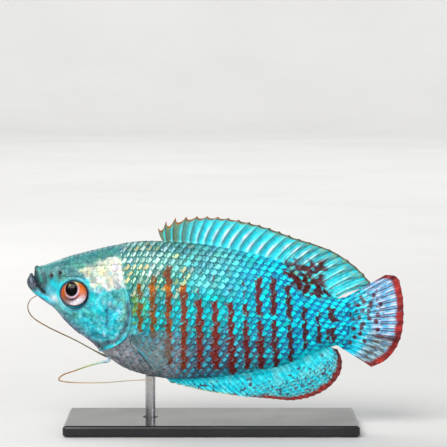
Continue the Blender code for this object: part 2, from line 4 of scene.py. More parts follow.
import bpy
import numpy as np
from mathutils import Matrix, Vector

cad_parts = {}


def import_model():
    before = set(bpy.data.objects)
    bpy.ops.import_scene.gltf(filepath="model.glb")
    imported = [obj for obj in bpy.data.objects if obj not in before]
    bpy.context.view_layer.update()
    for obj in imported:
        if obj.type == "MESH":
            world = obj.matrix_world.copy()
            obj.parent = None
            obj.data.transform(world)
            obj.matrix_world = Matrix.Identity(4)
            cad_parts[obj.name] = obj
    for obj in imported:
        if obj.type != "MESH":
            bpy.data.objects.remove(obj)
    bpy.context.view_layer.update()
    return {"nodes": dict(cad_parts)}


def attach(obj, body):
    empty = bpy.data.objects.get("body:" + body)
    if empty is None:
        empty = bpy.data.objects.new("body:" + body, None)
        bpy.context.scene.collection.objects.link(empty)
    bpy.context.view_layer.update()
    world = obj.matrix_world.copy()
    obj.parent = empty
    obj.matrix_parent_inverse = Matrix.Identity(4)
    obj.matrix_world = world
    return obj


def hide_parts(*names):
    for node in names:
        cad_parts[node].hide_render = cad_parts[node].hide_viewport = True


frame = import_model()
nodes = frame["nodes"]
print("solids loaded:", len(nodes))

# The side plan: millimetres back from the jaw tip and up from the lowest fin edge
fish = {
    "snoutToOrigin": 36.6,  # from the jaw tip to the middle of the stand
    "lift": 5.5,  # lowest fin edge above the stand's foot
    "coatDepth": 0.16,  # skin lies this far inside the solids, the scales fill the rest
    "headDepth": 0.05,  # the same on the head
    "bodyStart": 1.9,
    "bodyEnd": 64.0,
    "lastSection": 63.0,  # markings and scales beyond use this section
}
mm = 0.001

# distance, back, widest line, belly, half width, pinch above, pinch below
bodyRows = [
    (1.9, 25.9, 24.6, 23.4, 0.85, 0.90, 0.90), (2.4, 26.8, 24.4, 22.0, 1.40, 0.90, 0.90),
    (3.4, 27.2, 24.0, 20.6, 1.90, 0.90, 0.90), (5.0, 27.8, 23.4, 18.8, 2.50, 0.88, 0.92),
    (6.6, 28.3, 22.9, 16.9, 3.05, 0.86, 0.94), (9.4, 29.2, 22.1, 14.1, 3.80, 0.85, 0.95),
    (12.6, 30.0, 21.5, 11.8, 4.40, 0.87, 0.97), (15.8, 30.8, 21.0, 8.8, 4.85, 0.90, 0.98),
    (19.6, 31.6, 20.8, 6.4, 5.15, 0.94, 0.98), (23.6, 32.0, 20.7, 5.1, 5.25, 0.98, 1.00),
    (27.6, 31.9, 20.5, 4.4, 5.20, 1.00, 1.04), (35.6, 31.3, 19.9, 4.4, 4.85, 1.04, 1.18),
    (45.6, 29.3, 18.8, 5.6, 3.95, 1.08, 1.28), (50.6, 27.8, 18.1, 6.7, 3.35, 1.08, 1.28),
    (54.6, 25.8, 17.5, 8.2, 2.80, 1.06, 1.20), (58.6, 22.9, 16.4, 10.1, 2.25, 1.02, 1.08),
    (61.6, 20.6, 15.8, 10.9, 1.75, 1.00, 1.00), (63.6, 20.0, 15.4, 10.7, 1.00, 1.00, 1.00),
    (64.0, 18.8, 15.3, 11.8, 0.60, 1.00, 1.00),
]
mouth = {
    "lip": [(1.9, 26.6), (2.5, 25.2), (3.0, 23.8), (3.4, 22.5)],
    "lipDepth": [0.45, 0.75, 0.70, 0.40],
    "lipWidth": [0.80, 1.45, 1.80, 1.75],
    "jaw": [(0.8, 25.2), (0.9, 23.8), (1.7, 22.4), (3.2, 21.2), (4.8, 19.9)],
    "jawDepth": [0.35, 1.0, 0.92, 0.88, 0.55],
    "jawWidth": [0.55, 1.25, 1.60, 2.00, 1.70],
    "lipBlend": 0.16,
    "chinBlend": 0.34,
    "cleftBlend": 0.05,
    "cleftDepth": 0.24,
    "cleftWidth": 0.16,
}
gillLine = [
    (18.4, 34.0), (18.5, 31.2), (18.9, 27.2), (19.6, 23.8), (20.5, 21.2), (20.9, 18.4),
    (20.8, 16.0), (20.2, 13.9), (18.8, 12.2), (16.6, 10.9), (14.4, 10.0), (12.6, 9.0), (11.2, 7.2),
]
cheekLine = [(11.6, 12.6), (13.4, 13.4), (14.9, 14.9), (15.7, 17.0), (15.9, 19.6), (15.6, 22.2)]
eye = {"at": (9.5, 21.6), "radius": 2.86, "depth": 1.72, "centreY": 2.78}
nostrils = [(5.0, 25.2), (6.7, 25.8)]


def curveAt(places, values, at):
    # smooth cubic through the values, slopes from the neighbours
    places, values, at = (np.asarray(v, float) for v in (places, values, at))
    slopes = np.gradient(values, places)
    i = np.clip(np.searchsorted(places, at) - 1, 0, len(places) - 2)
    width = places[i + 1] - places[i]
    t = np.clip((at - places[i]) / width, 0, 1)
    return (
        (2 * t**3 - 3 * t**2 + 1) * values[i]
        + (t**3 - 2 * t**2 + t) * width * slopes[i]
        + (3 * t**2 - 2 * t**3) * values[i + 1]
        + (t**3 - t**2) * width * slopes[i + 1]
    )


def pathAt(points, shares):
    places = np.linspace(0, 1, len(points))
    return np.stack([curveAt(places, column, shares) for column in zip(*points)], -1)


def ramp(value, low, high):
    t = np.clip((value - low) / (high - low), 0, 1)
    return t * t * (3 - 2 * t)


def bump(value, middle, width):
    return np.exp(-(((value - middle) / width) ** 2))


def sectionAt(distance):
    # back, widest line, belly, half width and both pinches; beyond the table's ends its end rows hold
    table = np.array(bodyRows).T
    return [curveAt(table[0], row, distance) for row in table[1:]]


def liftAt(distance, height):
    # 0 on the widest line, 1 at the back, -1 at the belly
    back, widest, belly, *_ = sectionAt(np.minimum(distance, fish["lastSection"]))
    return (height - widest) / np.where(height > widest, back - widest, widest - belly)


def world(distance, y, height):
    spot = [distance - fish["snoutToOrigin"], y, height + fish["lift"]]
    return np.stack(np.broadcast_arrays(*spot), -1) * mm


def alongPath(distance, height, points, count=60):
    # nearest place on a path in the side plan: how far away, and its share along the path
    shares = np.linspace(0, 1, count)
    line = pathAt(points, shares)
    flatX, flatZ = np.ravel(distance), np.ravel(height)
    start, step = line[:-1], np.diff(line, axis=0)
    best = np.full(flatX.shape, 1e9)
    at = np.zeros(flatX.shape)
    for k in range(count - 1):
        t = ((flatX - start[k, 0]) * step[k, 0] + (flatZ - start[k, 1]) * step[k, 1]) / (step[k] @ step[k])
        t = np.clip(t, 0, 1)
        away = np.hypot(flatX - start[k, 0] - t * step[k, 0], flatZ - start[k, 1] - t * step[k, 1])
        nearer = away < best
        best = np.where(nearer, away, best)
        at = np.where(nearer, (k + t) / (count - 1), at)
    return best.reshape(np.shape(distance)), at.reshape(np.shape(distance))


def softLeast(a, b, blend):
    low = np.minimum(a, b)
    return low - blend * np.log(np.exp(-(a - low) / blend) + np.exp(-(b - low) / blend))


def gillAt(height):
    table = np.array(gillLine[::-1]).T
    return curveAt(table[1], table[0], height)


print("side plan ready")


def grain(u, v, size, seed):
    # smooth lattice noise from -1 to 1
    cells = 128
    table = np.random.default_rng(seed).random((cells, cells)) * 2 - 1
    u, v = np.asarray(u) / size, np.asarray(v) / size
    i, j = np.floor(u).astype(int), np.floor(v).astype(int)
    s, t = u - i, v - j
    s, t = s * s * (3 - 2 * s), t * t * (3 - 2 * t)
    i, j, k, m = i % cells, j % cells, (i + 1) % cells, (j + 1) % cells
    low, high = (table[i, at] * (1 - s) + table[k, at] * s for at in (j, m))
    return low * (1 - t) + high * t


def ink(red, green, blue):
    # screen colour 0 to 255 as linear light
    share = np.array([red, green, blue]) / 255
    return np.where(share < 0.04045, share / 12.92, ((share + 0.055) / 1.055) ** 2.4)


def blend(base, colour, share):
    share = np.asarray(share)[..., None]
    return base * (1 - share) + np.asarray(colour) * share


def layers(base, *rows):
    # screen colours laid over a base one by one, each with its share
    for colour, share in rows:
        base = blend(base, ink(*colour), share)
    return base


def makeMesh(name, points, faceSets):
    # faceSets: arrays of corner numbers, one array for each face size
    mesh = bpy.data.meshes.new(name)
    counts = np.concatenate([np.full(len(faces), faces.shape[1]) for faces in faceSets])
    corners = np.concatenate([faces.ravel() for faces in faceSets])
    mesh.vertices.add(len(points))
    mesh.vertices.foreach_set("co", np.asarray(points, np.float32).ravel())
    mesh.loops.add(len(corners))
    mesh.loops.foreach_set("vertex_index", corners.astype(np.int32))
    mesh.polygons.add(len(counts))
    starts = np.concatenate([[0], np.cumsum(counts)[:-1]])
    mesh.polygons.foreach_set("loop_start", starts.astype(np.int32))
    mesh.update(calc_edges=True)
    mesh.validate()
    mesh.shade_smooth()
    piece = bpy.data.objects.new(name, mesh)
    bpy.context.scene.collection.objects.link(piece)
    return piece


def addColour(piece, name, colours):
    # a colour for each point
    layer = piece.data.color_attributes.new(name, "FLOAT_COLOR", "POINT")
    filled = np.ones((len(piece.data.vertices), 4), np.float32)
    filled[:, :3] = np.clip(colours, 0, 1)
    layer.data.foreach_set("color", filled.ravel())


def addValue(piece, name, values):
    layer = piece.data.attributes.new(name, "FLOAT", "POINT")
    layer.data.foreach_set("value", np.asarray(values, np.float32))


def addMap(piece, pointPlaces):
    # the map for baking, from one place for each point
    layer = piece.data.uv_layers.new(name="OFBake")
    corner = np.zeros(len(piece.data.loops), np.int32)
    piece.data.loops.foreach_get("vertex_index", corner)
    layer.data.foreach_set("uv", np.asarray(pointPlaces, np.float32)[corner].ravel())


def unit(vectors, tiny=1e-12):
    return vectors / (np.linalg.norm(vectors, axis=-1, keepdims=True) + tiny)


def roundAngles(count):
    return 2 * math.pi * np.arange(count) / count


def closedRings(count, around):
    # faces between rings, with a middle point closing each end
    i, k = np.meshgrid(np.arange(count - 1), np.arange(around), indexing="ij")
    j = (k + 1) % around
    near, far = i * around, (i + 1) * around
    quads = np.stack([near + k, near + j, far + j, far + k], -1).reshape(-1, 4)
    k, last = np.arange(around), (count - 1) * around
    j = (k + 1) % around
    front = np.stack([np.full(around, count * around), j, k], -1)
    rear = np.stack([np.full(around, count * around + 1), last + k, last + j], -1)
    return quads, np.concatenate([front, rear])


def withEnds(rings):
    # the values of all rings, then one more for each end: the mean of its ring
    ends = np.stack([rings[0].mean(axis=0), rings[-1].mean(axis=0)])
    return np.concatenate([rings.reshape((-1,) + rings.shape[2:]), ends])


def sheetFaces(n, m):
    # front, rear and rim of a sheet of n by m points; the rear points follow the front ones
    number = np.arange(n * m).reshape(n, m)
    quads = np.stack([number[:-1, :-1], number[1:, :-1], number[1:, 1:], number[:-1, 1:]], -1).reshape(-1, 4)
    rim = np.concatenate([number[:, 0], number[-1, 1:], number[::-1, -1][1:], number[0, ::-1][1:-1]])
    beyond = np.roll(rim, -1)
    walls = np.stack([rim, rim + n * m, beyond + n * m, beyond], -1)
    return [quads, quads[:, ::-1] + n * m, walls]


# The skin: rings follow the edge of the gill covers, closely set on the head
skinPlan = {
    "around": 280,
    "snoutRings": 30,
    "headRings": 132,
    "flankRings": 96,
    "capRings": 8,
    "capLength": 1.2,
    "mouthEnd": 8.0,
    "gridFrom": -0.6,
    "gridPitch": 0.04,
    "warpFrom": 3.0,
    "warpTo": 34.0,
    "gillRing": 20.5,
    "settleSteps": 40,
    "widest": 6.5,
    "solveSteps": 28,
}


def mouthNear(distance, height):
    # for lip and jaw: distance from its path, half depth and half width there
    found = {}
    close = np.asarray(distance) < skinPlan["mouthEnd"] + 1
    for part in ("lip", "jaw"):
        away, share = np.full(np.shape(distance), 50.0), np.zeros(np.shape(distance))
        away[close], share[close] = alongPath(distance[close], height[close], mouth[part])
        places = np.linspace(0, 1, len(mouth[part + "Depth"]))
        depth, width = (curveAt(places, mouth[part + kind], share) for kind in ("Depth", "Width"))
        found[part] = (away, depth, width)
    return found


def tubeDepth(y, near):
    away, depth, width = near
    return (np.hypot(away / depth, y / width) - 1) * np.minimum(depth, width)


def coatInset(distance):
    return fish["headDepth"] + (fish["coatDepth"] - fish["headDepth"]) * ramp(distance, 12, 22)


def fleshParts(distance, y, height, near):
    # how far outside the flesh behind the mouth and the lower jaw a place is, below zero inside
    back, widest, belly, half, above, below = sectionAt(distance)
    inset = coatInset(distance)
    upper = height > widest
    reach = np.maximum(np.where(upper, back - widest, widest - belly) - inset, 0.05)
    across = np.maximum(half - inset, 0.05)
    side = (np.abs(y) / across) ** (1 / np.where(upper, above, below))
    body = (np.hypot(np.abs(height - widest) / reach, side) - 1) * np.minimum(reach, across)
    body = body + 1.5 * np.maximum(fish["bodyStart"] - distance, 0)
    return softLeast(body, tubeDepth(y, near["lip"]), mouth["lipBlend"]), tubeDepth(y, near["jaw"])


def fleshDepth(distance, y, height, near):
    rear, jaw = fleshParts(distance, y, height, near)
    loose = ramp(height, 21.6, 20.2)
    return softLeast(rear, jaw, mouth["cleftBlend"] + (mouth["chinBlend"] - mouth["cleftBlend"]) * loose)


def outlineOfFlesh(distances):
    # top and bottom of the flesh on the midline, not a number where there is none
    pitch = skinPlan["gridPitch"]
    heights = np.arange(15.0, 29.5, pitch)
    edges = []
    for distance in distances:
        if distance > skinPlan["mouthEnd"]:
            back, _, belly, *_ = sectionAt(distance)
            edges.append((back - coatInset(distance), belly + coatInset(distance)))
            continue
        column = np.full(heights.shape, distance)
        depth = fleshDepth(column, 0.0, heights, mouthNear(column, heights))
        inside = np.flatnonzero(depth < 0)
        if len(inside) == 0:
            edges.append((np.nan, np.nan))
            continue
        a, b = inside[-1], inside[0]
        top = heights[a] + pitch * depth[a] / (depth[a] - depth[a + 1])
        edges.append((top, heights[b] - pitch * depth[b] / (depth[b] - depth[b - 1])))
    return np.array(edges).T


def reliefAt(distance, height):
    # what stands out of the plain flesh, in mm
    behind = distance - gillAt(height)
    onCover = ramp(height, 8.4, 10.6) * ramp(height, 26.0, 22.6)
    out = 0.34 * onCover * np.exp(np.minimum(behind, 0) / 2.4) * ramp(behind, 0.02, -0.10)
    out -= 0.12 * onCover * bump(behind, 0.16, 0.16)
    out += 0.05 * onCover * bump(behind, -0.28, 0.12)
    away, share = alongPath(distance, height, cheekLine)
    fade = ramp(share, 0.0, 0.12) * ramp(share, 1.0, 0.85)
    out -= 0.17 * fade * bump(away, 0, 0.20)
    out += 0.06 * fade * bump(away, 0.5, 0.26)
    for back in (1.0, 1.9, 2.8):
        out -= 0.08 * bump(behind, -back, 0.14) * ramp(height, 14.0, 12.6)
    fromEye = np.hypot(distance - eye["at"][0], height - eye["at"][1])
    out += 0.17 * bump(fromEye, 3.16, 0.22) + 0.05 * bump(fromEye, 3.75, 0.2)
    out -= 1.0 * ramp(fromEye, 2.90, 2.66)
    for x, z in nostrils:
        away = np.hypot(distance - x, (height - z) * 0.85)
        out += 0.09 * bump(away, 0.42, 0.13) - 0.34 * ramp(away, 0.32, 0.12)
    for x, z in [(16.8, 27.5), (16.3, 24.4), (18.3, 25.3), (14.7, 23.6), (12.9, 26.4), (8.2, 26.3)]:
        out -= 0.14 * ramp(np.hypot(distance - x, height - z), 0.26, 0.06)
    for path, deep, wide in [
        ([(3.5, 24.6), (4.1, 23.4), (4.05, 22.3), (3.3, 21.7)], 0.16, 0.13),
        ([(1.1, 22.5), (2.3, 21.6), (3.7, 21.2)], 0.07, 0.12),
        ([(4.6, 20.2), (7.2, 18.0), (9.6, 17.2), (12.2, 18.0)], 0.08, 0.22),
        ([(3.9, 19.6), (7.6, 16.2), (11.4, 12.9)], 0.07, 0.25),
        ([(5.8, 26.9), (9.4, 26.0), (13.4, 25.6)], 0.06, 0.25),
    ]:
        away, share = alongPath(distance, height, path, 16)
        out -= deep * bump(away, 0, wide) * ramp(share, 0, 0.15) * ramp(share, 1, 0.85)
    widest = sectionAt(distance)[1]
    onFlank = ramp(distance, 23, 27) * ramp(distance, 62, 57)
    out -= 0.07 * onFlank * bump(height, widest - 0.4, 0.9)
    onHead = ramp(distance, 4, 6) * ramp(behind, 0.3, -0.3)
    out += 0.025 * onHead * grain(distance, height, 0.9, 4) * ramp(fromEye, 2.9, 3.5)
    return out


def buildSkin():
    n, plan = skinPlan["around"], skinPlan
    fine = np.arange(plan["gridFrom"], plan["mouthEnd"], 0.02)
    grid = np.concatenate([fine, np.arange(plan["mouthEnd"], fish["bodyEnd"] + 0.01, 0.1)])
    top, bottom = outlineOfFlesh(grid)
    there = ~np.isnan(top)
    grid, top, bottom = grid[there], top[there], bottom[there]
    tip, turn = grid[0], plan["gillRing"]
    swell = 1 - np.cos(np.linspace(0.10, math.pi / 2, plan["snoutRings"]))
    cap = fish["bodyEnd"] - plan["capLength"] * (1 - np.sin(np.linspace(0.1, math.pi / 2, plan["capRings"])))
    rings = np.concatenate([
        tip + (2.0 - tip) * swell,
        np.linspace(2.0, turn - 0.16, plan["headRings"] + 1)[1:],
        turn + np.array([-0.10, -0.06, -0.02, 0.02, 0.06, 0.12, 0.22]),
        np.linspace(turn + 0.35, fish["bodyEnd"] - plan["capLength"], plan["flankRings"]), cap,
    ])
    front = (rings - plan["warpFrom"]) / (turn - plan["warpFrom"])
    warp = np.clip(np.where(rings < turn, front, (plan["warpTo"] - rings) / (plan["warpTo"] - turn)), 0, 1)
    angles = roundAngles(n)
    lean = np.cos(angles)[None, :]
    x = np.repeat(rings[:, None], n, axis=1)
    for _ in range(plan["settleSteps"]):
        high, low = np.interp(x, grid, top), np.interp(x, grid, bottom)
        z = (high + low) / 2 + lean * (high - low) / 2
        x = 0.7 * x + 0.3 * (rings[:, None] + warp[:, None] * (gillAt(z) - turn))
    near = mouthNear(x, z)
    inner, outer = np.zeros(x.shape), np.full(x.shape, plan["widest"])
    for _ in range(plan["solveSteps"]):
        middle = (inner + outer) / 2
        outside = fleshDepth(x, middle, z, near) > 0
        inner, outer = np.where(outside, inner, middle), np.where(outside, middle, outer)
    side = np.where(angles < math.pi, -1.0, 1.0)[None, :]
    y = inner * side * (np.abs(np.sin(angles)) > 1e-9)[None, :]
    spots = np.stack([x, y, z], -1)
    around = np.roll(spots, -1, axis=1) - np.roll(spots, 1, axis=1)
    normal = unit(np.cross(around, np.gradient(spots, axis=0)))
    rear, jaw = fleshParts(x, y, z, near)
    cleft = mouth["cleftDepth"] * bump(rear - jaw, 0, mouth["cleftWidth"])
    cleft = cleft * ramp(z, 20.9, 22.2) * ramp(x, 4.6, 3.4)
    outwards = np.sign(np.sum(normal * (spots - spots.mean(axis=1, keepdims=True)), axis=2).mean())
    spots = spots + normal * outwards * (reliefAt(x, z) - cleft)[..., None]
    return spots, (x, z, rear, jaw)


skinSpots, skinPlaces = buildSkin()
print("skin worked out:", skinSpots.shape)

# Markings: everything is laid out on the side plan and mirrored to the right side
tint = {
    "teal": (50, 134, 136), "greyTeal": (86, 142, 146), "cyan": (14, 220, 236), "sky": (112, 216, 238),
    "deep": (14, 88, 142), "slate": (72, 80, 108), "green": (108, 186, 136), "moss": (122, 136, 44),
    "orange": (226, 118, 20), "maroon": (80, 6, 6), "white": (238, 246, 250), "plum": (52, 44, 62),
    "violet": (104, 106, 148), "leaf": (112, 158, 26),
}
bars = {
    # place at mid height, top, bottom, half width, gap middle (0 for none)
    "rows": [
        (22.5, 23.8, 13.8, 0.36, 20.2), (25.0, 25.0, 12.6, 0.46, 0.0), (28.1, 27.2, 7.4, 0.48, 0.0),
        (31.1, 23.4, 6.4, 0.52, 0.0), (34.2, 20.6, 6.2, 0.55, 0.0), (37.3, 20.2, 6.0, 0.56, 0.0),
        (40.4, 19.8, 5.2, 0.55, 0.0), (43.3, 19.6, 6.0, 0.44, 16.6), (46.1, 24.8, 6.2, 0.50, 16.4),
        (49.0, 24.6, 6.2, 0.48, 16.5), (52.0, 23.6, 7.4, 0.44, 15.5), (55.0, 18.6, 10.2, 0.38, 0.0),
        (57.8, 18.0, 11.2, 0.34, 0.0), (60.6, 18.8, 11.6, 0.44, 15.1),
    ],
    "lean": 0.045,
    "jog": 0.19,
    "midHeight": 15.5,
}
barPlaces = np.array([row[0] for row in bars["rows"]])
markings = {
    "rightShift": 37.0,  # the right side's noise is taken this far along
    "raised": 0.36,  # higher on the bulging sides, which the camera sees from a little above
    "barLevel": 0.74,
    "warmth": np.array([1.0, 0.96, 0.80]),  # takes some blue out of the front half
}


def phaseAt(distance, height):
    # whole numbers at the middles of the bars
    lean = bars["lean"] * ramp(distance, 30, 46)
    mid = distance - lean * (bars["midHeight"] - height)
    before = (mid - barPlaces[0]) / (barPlaces[1] - barPlaces[0])
    beyond = len(barPlaces) - 1 + (mid - barPlaces[-1]) / (barPlaces[-1] - barPlaces[-2])
    inside = curveAt(barPlaces, np.arange(len(barPlaces)), mid)
    return np.where(mid < barPlaces[0], before, np.where(mid > barPlaces[-1], beyond, inside))


# Scale rows: counted along the section from the widest line, up above zero and down below zero
arcPlan = {"from": 7.0, "to": 67.0, "pitch": 0.5, "steps": 40, "jog": 0.36, "upRows": 10, "downRows": 13}


def sectionSpot(distance, turn, inset):
    # turn runs from -1 at the belly to 0 at the widest line and 1 at the back
    back, widest, belly, half, above, below = sectionAt(np.minimum(distance, fish["lastSection"]))
    angle = np.clip(turn, -1, 1) * math.pi / 2
    reach = np.where(turn > 0, back - widest, widest - belly) - inset
    y = (half - inset) * np.maximum(np.cos(angle), 0) ** np.where(turn > 0, above, below)
    return y, widest + reach * np.sin(angle)


def planArcs():
    # arc lengths at each place of the plan, and how far apart the rows are there
    places = np.arange(arcPlan["from"], arcPlan["to"] + 0.01, arcPlan["pitch"])
    turns = np.linspace(0, 1, arcPlan["steps"] + 1)
    arcPlan["places"] = places
    rear = {"up": [1.30, 1.24, 1.1, 1.0, 0.95, 0.92], "down": [1.28, 1.22, 1.1, 1.0, 0.95, 0.92]}
    for name, sign in (("up", 1), ("down", -1)):
        spots = np.stack(sectionSpot(places[:, None], sign * turns[None, :], 0.0), -1)
        steps = np.linalg.norm(np.diff(spots, axis=1), axis=2)
        arcs = np.concatenate([np.zeros((len(spots), 1)), np.cumsum(steps, axis=1)], axis=1)
        front = arcs[:, -1] / arcPlan[name + "Rows"]
        first = front[np.searchsorted(places, 27)]
        spacing = curveAt([27, 35, 45, 55, 60, 64, 67], [first] + rear[name], places)
        arcPlan[name], arcPlan[name + "Spacing"] = arcs, np.where(places < 27, front, spacing)


planArcs()


def arcStep(distance):
    # place in the arc plan, counted in its steps
    return (np.clip(distance, arcPlan["from"], arcPlan["to"]) - arcPlan["from"]) / arcPlan["pitch"]


def turnOfRow(distance, row):
    # section turn of a place given by its scale row
    step = arcStep(distance)
    i = np.minimum(step.astype(int), len(arcPlan["places"]) - 2)
    t = step - i
    last = arcPlan["steps"] - 1
    turn = np.zeros(np.shape(distance))
    for name, sign in (("up", 1), ("down", -1)):
        lengths = arcPlan[name][i] * (1 - t)[:, None] + arcPlan[name][i + 1] * t[:, None]
        spacing = arcPlan[name + "Spacing"]
        wanted = np.abs(row) * (spacing[i] * (1 - t) + spacing[i + 1] * t)
        k = np.clip((lengths < wanted[:, None]).sum(axis=1) - 1, 0, last)
        low, high = lengths[np.arange(len(k)), k], lengths[np.arange(len(k)), k + 1]
        found = (k + np.clip((wanted - low) / (high - low), 0, 1)) / (last + 1)
        turn = np.where(row * sign > 0, sign * found, turn)
    return turn


def rowAt(distance, height):
    # scale row of a place in the side plan
    lift = liftAt(np.maximum(distance, arcPlan["from"]), height)
    turn = np.arcsin(np.clip(np.abs(lift), 0, 1)) * 2 / math.pi * arcPlan["steps"]
    k = np.minimum(turn.astype(int), arcPlan["steps"] - 1)
    i = arcStep(distance).astype(int)
    found = np.zeros(np.shape(distance))
    for name, sign in (("up", 1), ("down", -1)):
        arc = arcPlan[name][i, k] * (1 - (turn - k)) + arcPlan[name][i, k + 1] * (turn - k)
        found = np.where((lift > 0) == (sign > 0), sign * arc / arcPlan[name + "Spacing"][i], found)
    return found


def rowsIn(distance, row):
    # number of scale rows from the widest line to the back or the belly
    i = arcStep(distance).astype(int)
    up, down = (arcPlan[name][i, -1] / arcPlan[name + "Spacing"][i] for name in ("up", "down"))
    return np.where(row > 0, up, down)


def heightOn(distance, row):
    # height of a scale row in the side plan, for one place
    place = np.array([distance])
    return float(sectionSpot(place, turnOfRow(place, np.array([row])), 0.0)[1][0])


def insidePatch(x, z, corners, soft):
    # 1 inside a patch of the side plan, 0 outside
    away = np.full(np.shape(x), 1e9)
    within = np.zeros(np.shape(x), bool)
    for (ax, az), (bx, bz) in zip(corners, corners[1:] + corners[:1]):
        dx, dz = bx - ax, bz - az
        t = np.clip(((x - ax) * dx + (z - az) * dz) / (dx * dx + dz * dz), 0, 1)
        away = np.minimum(away, np.hypot(x - ax - t * dx, z - az - t * dz))
        crosses = (az > z) != (bz > z)
        within ^= crosses & (x < ax + (z - az) * dx / (dz if dz else 1e-9))
    return ramp(np.where(within, away, -away), -soft, soft)


# path, colour, width and strength of each stroke on the head
headStrokes = [
    ([(3.2, 20.2), (5.5, 17.5), (7.4, 15.3), (10.4, 12.9), (12.6, 11.4)], "violet", 1.55, 1.0),
    ([(2.2, 21.0), (3.4, 20.0), (5.0, 18.2)], "violet", 0.45, 0.7),
    ([(3.4, 26.6), (7.0, 27.6), (11.4, 28.8), (16.0, 30.2), (20.0, 31.0)], "teal", 1.0, 0.75),
    ([(4.9, 25.7), (4.8, 24.9), (5.1, 24.2)], "plum", 0.40, 0.8),
    ([(6.7, 26.2), (6.75, 25.2), (6.7, 24.5)], "plum", 0.26, 0.75),
    ([(3.6, 25.6), (3.8, 24.4), (4.0, 22.6)], "plum", 0.22, 0.7),
    ([(6.2, 26.2), (9.0, 25.6), (11.0, 24.9)], "greyTeal", 0.9, 0.8),
    ([(5.2, 24.0), (5.9, 22.4), (6.3, 20.9)], "cyan", 0.75, 0.9),
    ([(4.2, 22.4), (5.4, 21.8)], "sky", 0.6, 0.6),
    # painted highlight: the white-cyan shine on the cheek under the eye
    ([(5.5, 20.7), (6.6, 20.0), (8.0, 18.9)], "white", 0.62, 1.0),
    ([(3.9, 20.6), (5.6, 19.4), (8.2, 17.6)], "sky", 0.42, 0.75),
    ([(1.1, 22.2), (2.5, 21.4), (4.3, 20.4)], "cyan", 0.26, 1.0),
    ([(6.0, 19.2), (8.4, 17.4), (11.0, 17.0), (13.0, 17.6)], "green", 0.7, 0.38),
    ([(12.6, 21.2), (13.6, 19.8), (14.2, 18.0)], "cyan", 1.0, 0.9),
    ([(11.6, 16.2), (13.0, 14.4), (14.4, 12.9)], "cyan", 1.1, 0.75),
    ([(14.9, 18.4), (15.2, 16.4), (15.1, 14.2)], "cyan", 0.55, 0.9),
    ([(16.6, 19.4), (17.6, 18.9)], "violet", 0.6, 0.6),
    ([(16.8, 17.4), (17.5, 15.4), (17.2, 13.6)], "cyan", 0.8, 0.85),
    ([(15.9, 18.5), (16.0, 16.8), (15.85, 15.2)], "deep", 0.17, 0.95),
    ([(17.6, 16.0), (17.2, 14.6)], "deep", 0.16, 0.6),
    ([(13.2, 13.3), (14.6, 12.9), (16.2, 13.2)], "deep", 0.35, 0.45),
    ([(19.3, 20.4), (19.6, 18.4), (19.4, 16.6)], "green", 0.5, 0.7),
    ([(16.4, 21.6), (18.0, 21.2), (19.2, 21.6)], "teal", 0.5, 0.5),
    # painted shadow: a dark slate line along the rear and lower edge of the gill cover
    ([(20.3, 19.4), (20.2, 16.6), (19.4, 14.4), (17.9, 12.6), (16.2, 11.8), (13.9, 11.6)],
     "slate", 0.42, 0.85),
    # painted shadow: a dark plum line under the lower edge of the gill cover
    ([(12.4, 11.9), (13.6, 11.3), (15.2, 11.0), (16.4, 11.4)], "plum", 0.50, 0.85),
    ([(15.6, 10.9), (17.2, 11.2), (18.6, 11.9), (19.9, 13.2)], "cyan", 0.26, 1.0),
    ([(20.5, 25.6), (20.9, 22.0), (21.2, 18.6)], "greyTeal", 0.45, 0.8),
    ([(17.9, 22.45), (19.0, 22.35)], "orange", 0.10, 0.85),
]
# the same for the flank just behind the gill cover
flankStrokes = [
    ([(20.9, 23.6), (21.1, 21.2), (21.2, 18.6)], "teal", 0.34, 0.8),
    ([(21.4, 21.0), (21.5, 19.2), (21.4, 17.2)], "leaf", 0.30, 0.95),
    ([(21.9, 22.4), (22.0, 20.0), (21.9, 17.6)], "moss", 0.26, 0.9),
    ([(20.9, 18.4), (21.0, 17.2)], "orange", 0.16, 0.8),
    ([(20.6, 15.9), (21.6, 15.6), (22.2, 15.6)], "leaf", 0.26, 0.9),
    ([(20.7, 16.4), (21.1, 16.4)], "cyan", 0.24, 1.0),
    ([(20.8, 14.7), (21.6, 14.2), (21.2, 13.4)], "sky", 0.34, 0.9),
    ([(22.9, 24.2), (23.3, 20.4), (23.5, 17.0)], "green", 0.4, 0.6),
]
# corners of the cream patch on the gill cover
creamPatch = [
    (10.6, 25.8), (12.3, 24.8), (12.8, 22.5), (14.3, 22.3), (16.3, 22.5), (18.7, 22.5), (19.7, 24.4),
    (19.7, 26.7), (19.2, 28.2), (17.4, 28.6), (15.9, 28.7), (14.3, 27.6), (12.7, 26.8), (11.4, 26.2),
]
# path and half width of each blot in the bars' colour
bodyBlots = [
    ([(60.1, 18.4), (59.9, 17.0), (60.4, 16.2), (61.4, 16.1)], 0.42),
    ([(59.8, 14.0), (59.6, 12.6), (59.9, 11.8)], 0.34),
    ([(51.2, 25.4), (53.4, 24.3), (54.0, 22.6)], 0.5),
    ([(54.8, 25.0), (55.6, 23.0), (55.2, 21.6)], 0.62),
    ([(56.8, 23.8), (57.8, 22.2), (57.4, 20.9)], 0.55),
    ([(58.8, 22.0), (59.6, 21.0)], 0.4),
]
# corners of the maroon patch on the back
maroonPatch = [
    (50.2, 29.0), (50.8, 25.6), (53.0, 22.6), (55.5, 20.6), (58.6, 20.2), (61.0, 20.2), (61.5, 22.0),
    (57.0, 28.0),
]
# round dots: on the maroon patch, and on the head
paleDots = [(55.5, 24.7), (53.4, 25.5), (52.6, 26.6), (56.6, 23.4)]
headDots = [(14.7, 23.6), (16.5, 24.5), (17.4, 24.8), (18.2, 25.3), (16.9, 27.4), (13.5, 25.9), (15.6, 26.6)]


